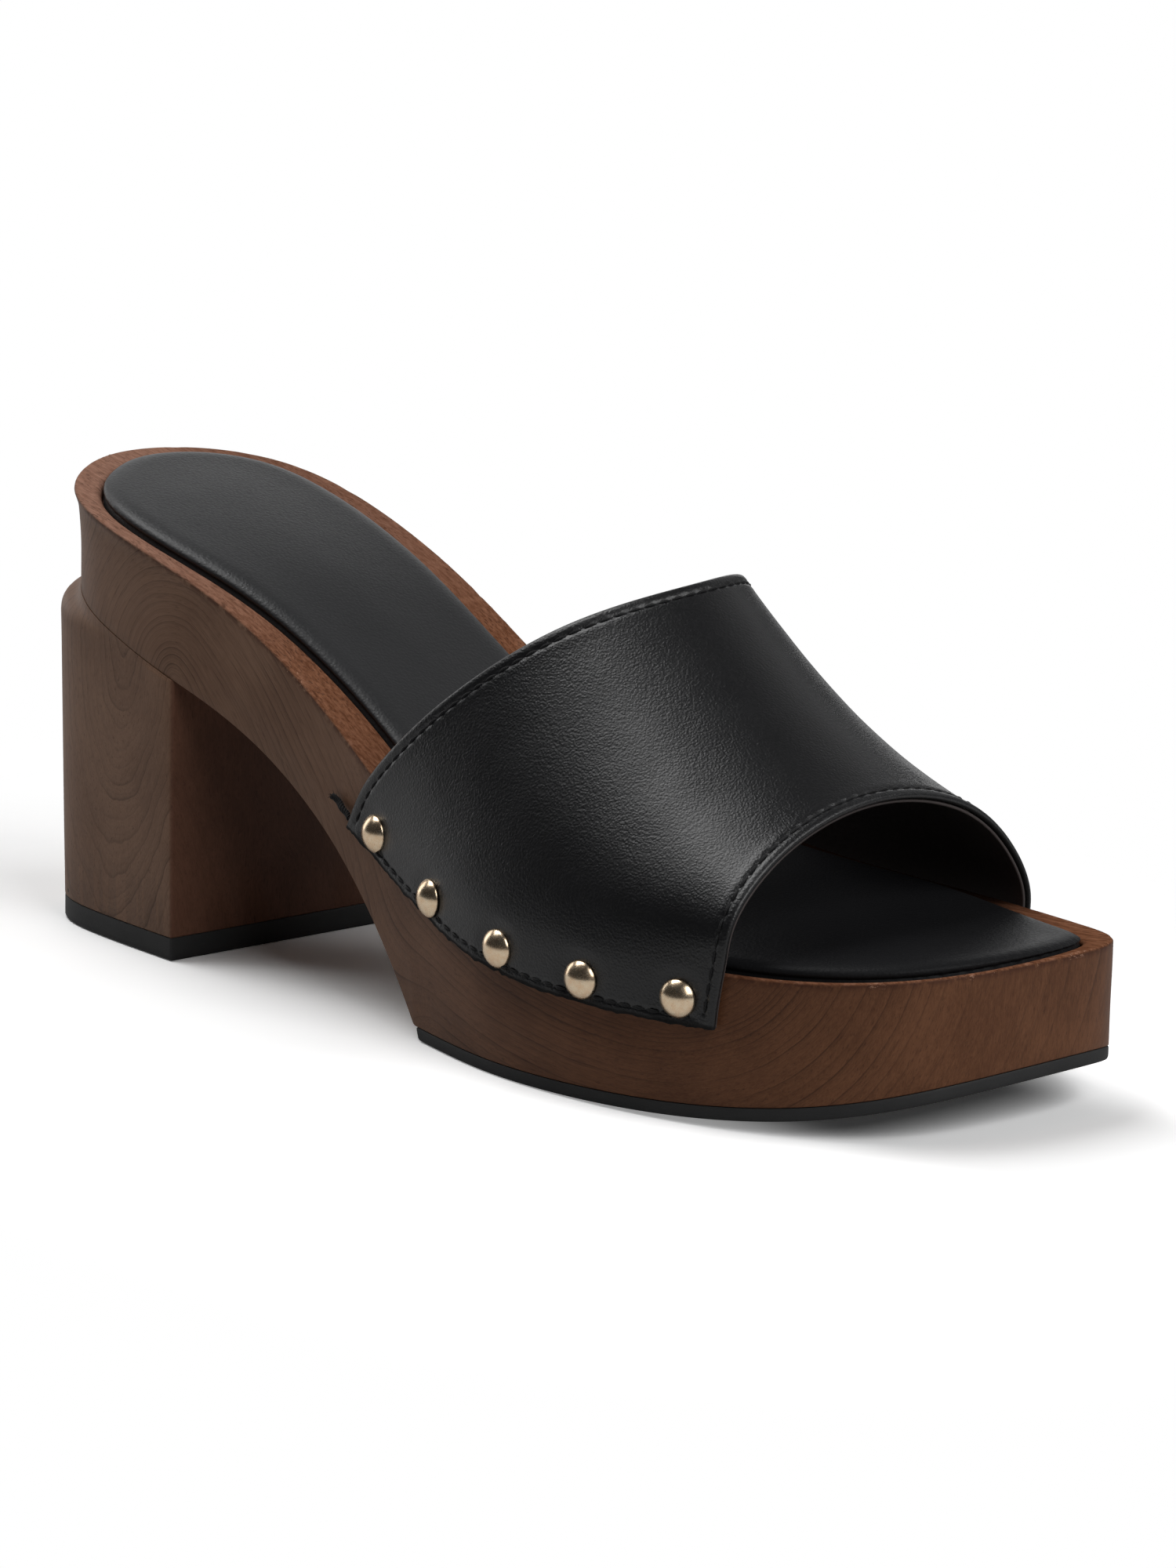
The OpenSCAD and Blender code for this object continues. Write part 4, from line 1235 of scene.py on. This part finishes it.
def band_sheet(edge, middle_count, shares):
    """The band's outer face as a grid, with normals and distances from its borders."""
    t, from_rear, whole = band_rows(shares, edge, np.linspace(0, 1, middle_count + 2)[1:-1])
    f = np.repeat(shares[None], len(t), 0)
    step = 2e-4
    points = band_point(t, f)
    along = band_point(t + step, f) - band_point(t - step, f)
    across = band_point(t, f + step) - band_point(t, f - step)
    length = np.interp(t, SECTION_T, SECTION_LENGTH)
    from_front = whole[None] - from_rear
    return SimpleNamespace(
        points=points, normals=facing_out(unit(np.cross(along, across)), points),
        share=f, length=length, from_rear=from_rear, from_front=from_front,
        edge=np.minimum(from_rear, from_front), low=np.minimum(f*length, (1 - f)*length))


def arc_shares(count, fine):
    """Shares along the section, finer at both ends: fine holds millimetres from the end."""
    a = np.array(fine)/MEAN_LENGTH
    return np.concatenate([a, np.linspace(a[-1], 1 - a[-1], count)[1:-1], 1 - a[::-1]])


def close_sheet(outer, inner):
    """One closed mesh from an outer and an inner grid of the same size."""
    n, m, _ = outer.shape
    A = np.arange(n*m).reshape(n, m)
    B = A + n*m
    faces = []
    for i in range(n - 1):
        for j in range(m - 1):
            faces.append([A[i, j], A[i, j+1], A[i+1, j+1], A[i+1, j]])
            faces.append([B[i, j], B[i+1, j], B[i+1, j+1], B[i, j+1]])
    for j in range(m - 1):
        faces.append([A[0, j], B[0, j], B[0, j+1], A[0, j+1]])
        faces.append([A[-1, j], A[-1, j+1], B[-1, j+1], B[-1, j]])
    for i in range(n - 1):
        faces.append([A[i, 0], A[i+1, 0], B[i+1, 0], B[i, 0]])
        faces.append([A[i, -1], B[i, -1], B[i+1, -1], A[i+1, -1]])
    verts = np.concatenate([outer.reshape(-1, 3), inner.reshape(-1, 3)])
    return verts, [[int(q) for q in face] for face in faces]


def round_edge(distance, radius):
    """How far the face draws back at a distance from an edge of the given radius."""
    q = np.clip(radius - distance, 0, radius)
    return radius - np.sqrt(np.maximum(radius*radius - q*q, 0))


# ---------------------------------------------------------------- stitch and stud places
def edge_stitches(length):
    """Stitch centres as shares of an edge section."""
    room = length - 2*STITCH_INSET
    n = int(room//STITCH_PITCH)
    return (STITCH_INSET + room*((2*np.arange(n) + 1)/(2*n)))/length


def low_stitches():
    """x of the stitch centres along the band's foot."""
    start, end = REAR_X[0] + 4.5, FRONT_X[0] - 4.5
    n = int(((end - start)*1.05)//STITCH_PITCH)
    return mix(start, end, (np.arange(n) + 0.5)/n)


REAR_STITCHES = edge_stitches(REAR_LENGTH)
FRONT_STITCHES = edge_stitches(FRONT_LENGTH)
LOW_STITCHES = low_stitches()


def stud_frames(side):
    """Centre and outward direction of each stud on a side."""
    return [(wall_point(x, z, side), wall_normal(x, side)) for x, z in STUDS]


# ---------------------------------------------------------------- the band's layers
def puncture(run, centres):
    """1 at the needle holes either side of each stitch, 0 away from them."""
    half, width = STITCH_LENGTH/2 + 0.1, 0.42
    holes = np.sort(np.concatenate([centres - half, centres + half]))
    i = np.clip(np.searchsorted(holes, run), 1, len(holes) - 1)
    away = np.minimum(abs(run - holes[i - 1]), abs(run - holes[i]))
    return np.exp(-(away/width)**2)


def hump(distance, centre, width):
    return np.exp(-((distance - centre)/width)**2)


def band_relief(sheet):
    """How far the outer face sinks below the plain surface."""
    low, edge = sheet.low, sheet.edge
    # rolled bead between edge and stitching
    depth = -0.11*hump(edge, 1.15, 0.65)*smooth(0.2, 1.2, low)
    # stitching grooves and needle holes
    clear = smooth(1.6, 3.2, low)
    for distance, inset, shares, length in (
            (sheet.from_rear, REAR_INSET, REAR_STITCHES, REAR_LENGTH),
            (sheet.from_front, FRONT_INSET, FRONT_STITCHES, FRONT_LENGTH)):
        hole = puncture(sheet.share*length, shares*length)
        depth += hump(distance, inset, 0.40)*clear*(0.13 + 0.20*hole)
        depth -= 0.035*hump(distance, inset + 1.3, 0.8)*clear
    hole = puncture(sheet.points[..., 0], LOW_STITCHES)
    depth += hump(low, LOW_INSET, 0.42)*smooth(3.4, 4.6, edge)*(0.13 + 0.20*hole)
    # the leather gives a little under each stud
    for centre, axis in stud_frames(OUTER) + stud_frames(INNER):
        offset = sheet.points - centre
        out = offset @ axis
        radius = np.linalg.norm(offset - out[..., None]*axis, axis=-1)
        near = (np.linalg.norm(offset, axis=-1) < 9) & (out > -6)
        depth += np.where(near, 0.30*(1 - smooth(3.4, 6.6, radius)), 0)
    return depth


def leather_softness(sheet):
    """Slow unevenness, and small folds drawn in by the stitching along the toe opening."""
    low, points, front = sheet.low, sheet.points, sheet.from_front
    soft = 0.16*soft_noise(points, 30.0, 2.2) + 0.05*soft_noise(points, 8.0, 5.5)
    soft *= smooth(0, 9, low)*smooth(0, 5, sheet.edge)
    run = sheet.share*FRONT_LENGTH
    fold = soft_noise(np.stack([run, front*0.16, 0*run], -1), 1.25, 6.1)
    where = soft_noise(np.stack([run, 0*run, 0*run], -1), 17.0, 2.9)
    fold = fold*smooth(-0.15, 0.35, where)
    rise = smooth(FRONT_INSET + 0.3, FRONT_INSET + 1.3, front)
    fall = 1 - smooth(FRONT_INSET + 2.5, FRONT_INSET + 7.5, front)
    return soft + 0.075*fold*rise*fall*smooth(8, 16, low)


def build_outer_leather():
    edge_step = 0.30
    edge_rows = np.concatenate([[0.0, 0.06, 0.18, 0.36], np.arange(0.6, 4.3, edge_step)])
    shares = arc_shares(int(400*DETAIL), [0, 0.08, 0.22, 0.45, 0.75, 1.1, 1.4, 1.7, 2.0, 2.35,
                                          2.8, 3.3, 3.9])
    sheet = band_sheet(edge_rows, int(86*DETAIL), shares)
    points, low, edge = sheet.points, sheet.low, sheet.edge
    fray = 0.16*soft_noise(points, 1.1, 9.3) + 0.12*soft_noise(points, 0.5, 3.3)
    fray *= 1 - smooth(0.5, 1.3, low)
    relief = np.maximum(band_relief(sheet) - leather_softness(sheet), -0.35)
    relief = relief + np.where(low < 1.2, fray*0.6, 0)
    edge_back = round_edge(edge, 0.6)
    outer_depth = relief + np.maximum(edge_back, round_edge(low, 0.28))*0.92
    inner_depth = LEATHER_THICK - np.maximum(edge_back*0.75, round_edge(low, 0.2)*0.5)
    inner_depth = np.maximum(inner_depth, outer_depth + 0.15)
    outer = points - sheet.normals*outer_depth[..., None]
    inner = points - sheet.normals*inner_depth[..., None]
    # the cut lower edge is a little ragged
    rag = 0.42*soft_noise(points, 2.2, 4.4) + 0.34*soft_noise(points, 0.8, 7.4)
    rag = rag*(1 - smooth(0.0, 1.0, low))*smooth(0.0, 2.0, edge)
    outer[..., 2] += rag
    inner[..., 2] += rag*0.8
    raw = (1 - smooth(0.40, 0.95, low)).ravel()
    piece("Vamp_Outer_Leather", close_sheet(outer, inner), UPPER, 60,
          "vamp_outer", {"raw": np.concatenate([raw, np.ones_like(raw)])})


def plain_sheet(name, material, node, depths, edge_inset, low_inset, radius,
                middle_count, arc_count):
    """Inner layer of the band between two depths below its outer face."""
    low_steps = low_inset + np.array([0, 0.06, 0.16, 0.35, 1.0])
    sheet = band_sheet(edge_inset + np.array([0.0, 0.05, 0.15, 0.3, 0.8, 2.0]),
                       middle_count, arc_shares(arc_count, low_steps))
    edge = sheet.edge - edge_inset
    low = sheet.low - low_inset*sheet.length/MEAN_LENGTH
    back = np.maximum(round_edge(np.maximum(edge, 0), radius),
                      round_edge(np.maximum(low, 0), radius))*0.85
    outer = sheet.points - sheet.normals*(depths[0] + back)[..., None]
    inner = sheet.points - sheet.normals*(depths[1] - back)[..., None]
    piece(name, close_sheet(outer, inner), material, 60, node)


build_outer_leather()
LINING_TOP = UPPER_THICK - LINING_THICK - 0.14
plain_sheet("Vamp_Interlining", FELT, "vamp_interlining",
            depths=(LEATHER_THICK + 0.03, LINING_TOP - 0.03), edge_inset=3.2, low_inset=0.9,
            radius=0.06, middle_count=40, arc_count=150)
plain_sheet("Vamp_Lining_Leather", LINING, "vamp_lining",
            depths=(LINING_TOP, UPPER_THICK - 0.14), edge_inset=0.25, low_inset=0.15,
            radius=0.28, middle_count=90, arc_count=260)


# ---------------------------------------------------------------- stitches
def thread_mesh(paths, width, height, sides=8):
    """Short threads along (points, outward normals), tapering at their ends; width and
    height are the section's radii."""
    verts, faces = [], []
    for points, normals in paths:
        n = len(points)
        along = unit(np.gradient(points, axis=0))
        up = unit(normals - along*(normals*along).sum(-1, keepdims=True))
        side = np.cross(along, up)
        faces += tube_faces(n, sides, len(verts))
        for i in range(n):
            taper = math.sin(math.pi*min(1.0, max(0.0, (i + 0.35)/(n - 0.3))))**0.45
            for k in range(sides):
                q = 2*math.pi*k/sides
                verts.append(points[i] + side[i]*math.cos(q)*width*taper
                             + up[i]*math.sin(q)*height*taper)
    return np.array(verts), faces


STITCH_STEPS = np.linspace(-0.5, 0.5, 7)


def arched(points, normals):
    """A stitch rising out of the leather and back in."""
    arch = np.sin(np.linspace(0, math.pi, len(STITCH_STEPS)))
    return points + normals*(-0.30 + 0.34*arch)[:, None], normals


def edge_paths(shares, length, inset, row):
    """Stitches at an inset from an edge; row picks that line among the band's rows."""
    step = 1e-3
    paths = []
    for share in shares:
        f = share + STITCH_STEPS*(STITCH_LENGTH + 0.35)/length
        t = band_rows(f, np.array([0.0, inset]), np.array([0.5]))[0][row]
        points = band_point(t, f)
        along = band_point(t + step, f) - band_point(t - step, f)
        normals = unit(np.cross(along, np.gradient(points, axis=0)))
        paths.append(arched(points, facing_out(normals, points)))
    return paths


def low_paths(side):
    paths = []
    for centre in LOW_STITCHES:
        x = centre + STITCH_STEPS*(STITCH_LENGTH + 0.3)*0.97
        points = wall_point(x, on_profile(x, BAND_LOW) + LOW_INSET, side)
        paths.append(arched(points, wall_normal(x, side)))
    return paths


# name, paths, radii of the thread
for name, paths, radii in (
        ("Rear_Topline_Stitching",
         edge_paths(REAR_STITCHES, REAR_LENGTH, REAR_INSET, row=1), (0.27, 0.20)),
        ("Front_Edge_Stitching",
         edge_paths(FRONT_STITCHES, FRONT_LENGTH, FRONT_INSET, row=-2), (0.27, 0.20)),
        ("Lateral_Lasting_Stitching", low_paths(OUTER), (0.33, 0.24)),
        ("Medial_Lasting_Stitching", low_paths(INNER), (0.33, 0.24))):
    piece(name, thread_mesh(paths, *radii), THREAD, 60, name.lower())


# ---------------------------------------------------------------- studs
def stud_profile():
    """(radius, height) from the shank's point to the top of the domed head."""
    shank = SHANK_RADIUS - 0.05
    profile = [(0.0, -11.8), (0.35, -11.5), (shank, -10.0), (shank, -0.25),
               (STUD_RADIUS - 0.75, -0.22), (STUD_RADIUS - 0.35, -0.20),
               (STUD_RADIUS - 0.12, -0.12), (STUD_RADIUS, 0.05), (STUD_RADIUS + 0.01, 0.2)]
    dome = (STUD_RADIUS**2 + STUD_HEIGHT**2)/(2*STUD_HEIGHT)
    for i in range(1, 17):
        q = math.asin(STUD_RADIUS/dome)*(1 - i/16)*0.985
        z = 0.1 + STUD_HEIGHT - dome + dome*math.cos(q) + 0.3*math.cos(q)
        profile.append((dome*math.sin(q), z))
    return [(radius, z - 0.18) for radius, z in profile]


def stud_mesh(frames, sides=72):
    verts, faces = [], []
    up = np.array([0, 0, 1.0])
    for centre, out in frames:
        lift = rng.uniform(-0.05, 0.08)
        tilt = rng.uniform(-0.03, 0.03, 2)
        axis = unit(out + up*tilt[0] + np.cross(out, up)*tilt[1])
        e1 = unit(np.cross(axis, up))
        e2 = np.cross(axis, e1)
        rings = []
        for radius, z in stud_profile():
            middle = centre + axis*(z + lift)
            if radius < 1e-6:
                rings.append([len(verts)]*sides)
                verts.append(middle)
                continue
            rings.append(list(range(len(verts), len(verts) + sides)))
            for k in range(sides):
                q = 2*math.pi*k/sides
                verts.append(middle + (e1*math.cos(q) + e2*math.sin(q))*radius)
        for low, high in zip(rings, rings[1:]):
            for a in range(sides):
                b = (a + 1) % sides
                faces.append(list(dict.fromkeys([low[a], low[b], high[b], high[a]])))
    return np.array(verts), faces


for name, side in (("Lateral_Studs", OUTER), ("Medial_Studs", INNER)):
    piece(name, stud_mesh(stud_frames(side)), GOLD, 50, name.lower())

# ---------------------------------------------------------------- loose thread end
TAIL_X = 101.0
# Along the outline, out from the rim, height.
TAIL = [(0.6, 1.5, 37.9), (-0.8, 0.9, 38.6), (-2.4, 1.0, 39.4), (-3.8, 0.8, 40.3),
        (-4.7, 1.15, 41.0), (-5.3, 1.5, 41.3)]


def through_points(points, count):
    """Catmull-Rom curve."""
    t = np.linspace(0, len(points) - 1.0001, count)
    i = np.floor(t).astype(int)
    t = (t - i)[:, None]
    ends = np.concatenate([[2*points[0] - points[1]], points, [2*points[-1] - points[-2]]])
    a, b, c, d = (ends[i + k] for k in range(4))
    return 0.5*((2*b) + (c - a)*t + (2*a - 5*b + 4*c - d)*t**2 + (-a + 3*b - 3*c + d)*t**3)


def build_thread_tail():
    s = outline_at(TAIL_X, OUTER)
    start, tangent, out = on_ring(OUTLINE, s), outline_tangent(s, 0.05), -inward(s)
    core = through_points(np.array([[*(start + tangent*a + out*o), z] for a, o, z in TAIL]), 60)
    along = unit(np.gradient(core, axis=0))
    side = unit(np.cross(along, np.array([0, 0, 1.0])))
    up = np.cross(along, side)
    spread = 0.30 + 0.20*smooth(45, 60, np.arange(60))
    plies = []
    for ply in range(3):
        turn = 2*math.pi*ply/3 + np.linspace(0, 9*math.pi, 60)
        round_core = side*np.cos(turn)[:, None] + up*np.sin(turn)[:, None]
        plies.append((core + round_core*spread[:, None], side))
    hairs = []
    for _ in range(16):
        root = core[int(rng.uniform(40, 58))]
        direction = unit(along[-1] + rng.uniform(-0.7, 0.7, 3))
        t = np.linspace(0, rng.uniform(0.8, 1.7), 6)[:, None]
        hair = root + direction*t + rng.uniform(-0.4, 0.4, 3)*(t**2)*0.4
        hairs.append((hair, np.repeat(side[-1][None], 6, 0)))
    verts, faces = thread_mesh(plies, 0.36, 0.36, sides=10)
    hair_verts, hair_faces = thread_mesh(hairs, 0.05, 0.05, sides=5)
    faces += [[q + len(verts) for q in face] for face in hair_faces]
    piece("Thread_Tail", (np.concatenate([verts, hair_verts]), faces), THREAD, 60,
          "thread_tail")


build_thread_tail()

# ---------------------------------------------------------------- CAD nodes that keep their mesh
for node_name in ("heel_screws", "heel_tip_pins"):
    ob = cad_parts[node_name]
    if not ob.material_slots:
        ob.data.materials.append(STEEL)
    for material_slot in ob.material_slots:
        material_slot.material = STEEL

# ---------------------------------------------------------------- floor
TARGET = ((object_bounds()[0].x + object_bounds()[1].x)/2, 0, 0.03)


def floor_paper(name):
    """White paper, lit up to clear white away from the shoe, with painted light beside the
    forepart; the shoe above it sees a plain light grey. Lengths here are metres."""
    m = Shader(name)
    place = m.output_of("NewGeometry", "Position", vector=True)
    (x0, y0, _), (x1, y1, _) = CAD_BOX
    offset = m.vector_math("ABSOLUTE", place - ((x0 + x1)/2, (y0 + y1)/2, 0))
    outside = m.vector_math("MAXIMUM", offset - ((x1 - x0)/2, (y1 - y0)/2, 10.0))
    distance = m.vector_math("LENGTH", outside)
    camera_ray = m.output_of("LightPath", "Is Camera Ray")
    grit = m.noise(m.at, 0.02)
    m.surface(Base_Color=(0.55, 0.55, 0.55, 1), Roughness=0.9, Specular_IOR_Level=0.05)
    white = m.node("BsdfDiffuse", m.mix_color(grit, (1.21, 1.21, 1.21), (1.27, 1.27, 1.27)))

    def soft(value, start, end):
        t = m.fade(value, start, end)
        return (t*t)*t.times_plus(-2.0, 3.0)

    # painted light: the paper emits light to the sides of the forepart, and a little over the
    # whole forepart, washing out the shadows there, so that only the shadows under the arch and
    # the toe stay
    x, y, _ = m.split(place)
    outer = soft(y*-1.0, 0.014, 0.042)*soft(x, 0.075, 0.135).times_plus(0.65, 0.35)
    inner = soft(y, 0.018, 0.044)*soft(x, 0.140, 0.190)
    lift = m.math("MAXIMUM", outer, inner).times_plus(0.27, soft(x, 0.09, 0.16)*0.03)
    # painted light: emission from the paper, seen only by the camera
    painted_light_glow = m.node("Emission", None, lift)
    lit = m.node("AddShader", white.outputs[0], painted_light_glow.outputs[0])
    seen = m.node("MixShader", camera_ray, m.bsdf.outputs[0], lit.outputs[0])
    # from below the paper is clear, so that the treads can be seen
    below = m.output_of("NewGeometry", "Backfacing")
    clear = camera_ray*m.math("MAXIMUM", m.fade(distance, 0.004, 0.13), below)
    see_through = m.node("BsdfTransparent").outputs[0]
    surface = m.node("MixShader", clear, seen.outputs[0], see_through)
    m.put(m.output.inputs[0], surface.outputs[0])
    return m.material


def build_floor(half=30.0):
    material = floor_paper("FloorPaper")
    z = CAD_BOX[0][2] - 0.00005
    me = bpy.data.meshes.new("Floor")
    corners = [(-half, -half, z), (half, -half, z), (half, half, z), (-half, half, z)]
    me.from_pydata(corners, [], [[0, 1, 2, 3]])
    floor = bpy.data.objects.new("Floor", me)
    bpy.context.scene.collection.objects.link(floor)
    me.materials.append(material)


build_floor()

# ---------------------------------------------------------------- world, camera and lights
scene = bpy.context.scene


def build_world():
    """White to the camera, a faint cool fill to everything else."""
    world = bpy.data.worlds.new("Studio")
    scene.world = world
    world.use_nodes = True
    tree = world.node_tree
    tree.nodes.clear()
    output = tree.nodes.new("ShaderNodeOutputWorld")
    blend = tree.nodes.new("ShaderNodeMixShader")
    light_path = tree.nodes.new("ShaderNodeLightPath")
    tree.links.new(light_path.outputs["Is Camera Ray"], blend.inputs[0])
    for socket, color, strength in ((1, (0.93, 0.96, 1, 1), 0.02), (2, (1, 1, 1, 1), 1.0)):
        background = tree.nodes.new("ShaderNodeBackground")
        background.inputs[0].default_value = color
        background.inputs[1].default_value = strength
        tree.links.new(background.outputs[0], blend.inputs[socket])
    tree.links.new(blend.outputs[0], output.inputs[0])


build_world()

AZIMUTH, ELEVATION, ROLL = (math.radians(a) for a in (44.852, 12.793, 1.237))
DISTANCE = 1.300
SHIFT_RIGHT, SHIFT_UP = 15.135*MM, 1.411*MM
LENS = 157.6512
AIM = np.array([(110 + SHIFT_X)*MM, 0, 40*MM])
# level directions as the camera sees them
RIGHT = np.array([math.cos(AZIMUTH), math.sin(AZIMUTH), 0])
AWAY = np.array([-math.sin(AZIMUTH), math.cos(AZIMUTH), 0])


def build_camera():
    back = -AWAY*math.cos(ELEVATION) + np.array([0, 0, math.sin(ELEVATION)])
    level_up = np.cross(back, RIGHT)
    right = RIGHT*math.cos(ROLL) + level_up*math.sin(ROLL)
    up = -RIGHT*math.sin(ROLL) + level_up*math.cos(ROLL)
    place = AIM + DISTANCE*back + SHIFT_RIGHT*right + SHIFT_UP*up
    data = bpy.data.cameras.new("Camera")
    camera = bpy.data.objects.new("Camera", data)
    scene.collection.objects.link(camera)
    data.sensor_width = 36.0
    data.lens = LENS
    data.clip_start, data.clip_end = 0.05, 60
    axes = np.column_stack([right, up, back, place])
    camera.matrix_world = Matrix([*axes.tolist(), (0, 0, 0, 1)])
    scene.camera = camera


build_camera()

PANEL_DISTANCE = 1.5
# Square softboxes as seen from the shoe: name, azimuth (0 away from the camera, positive to
# the right) and elevation in degrees, side in metres, radiance.
PANELS = [
    ("Key_Softbox", -60, 64, 0.9, 4.8),
    ("Front_Right", 144, 38, 0.9, 3.2),
    ("Right", 108, 36, 0.9, 2.3),
    ("Back_Left", -45, 14, 0.9, 1.66),
    ("Back", 0, 14, 0.9, 1.1),
    ("Back_Right", 45, 16, 0.9, 0.2),
    ("Back_Right_High", 36, 38, 0.8, 0.25)]


def panel(name, azimuth, elevation, size, radiance):
    a, e = math.radians(azimuth), math.radians(elevation)
    level = PANEL_DISTANCE*math.cos(e)
    place = AIM + RIGHT*level*math.sin(a) + AWAY*level*math.cos(a)
    place = Vector((place[0], place[1], PANEL_DISTANCE*math.sin(e) + 0.04))
    data = bpy.data.lights.new(name, "AREA")
    data.shape = "RECTANGLE"
    data.size = data.size_y = size
    data.energy = radiance*math.pi*size*size
    light = bpy.data.objects.new(name, data)
    light.location = place
    light.rotation_mode = "QUATERNION"
    light.rotation_quaternion = (Vector(TARGET) - place).to_track_quat("-Z", "Y")
    scene.collection.objects.link(light)


for settings in PANELS:
    panel(*settings)

scene.view_settings.view_transform = "Standard"
scene.view_settings.look = "None"
scene.view_settings.exposure = 0.0
scene.view_settings.gamma = 1.0
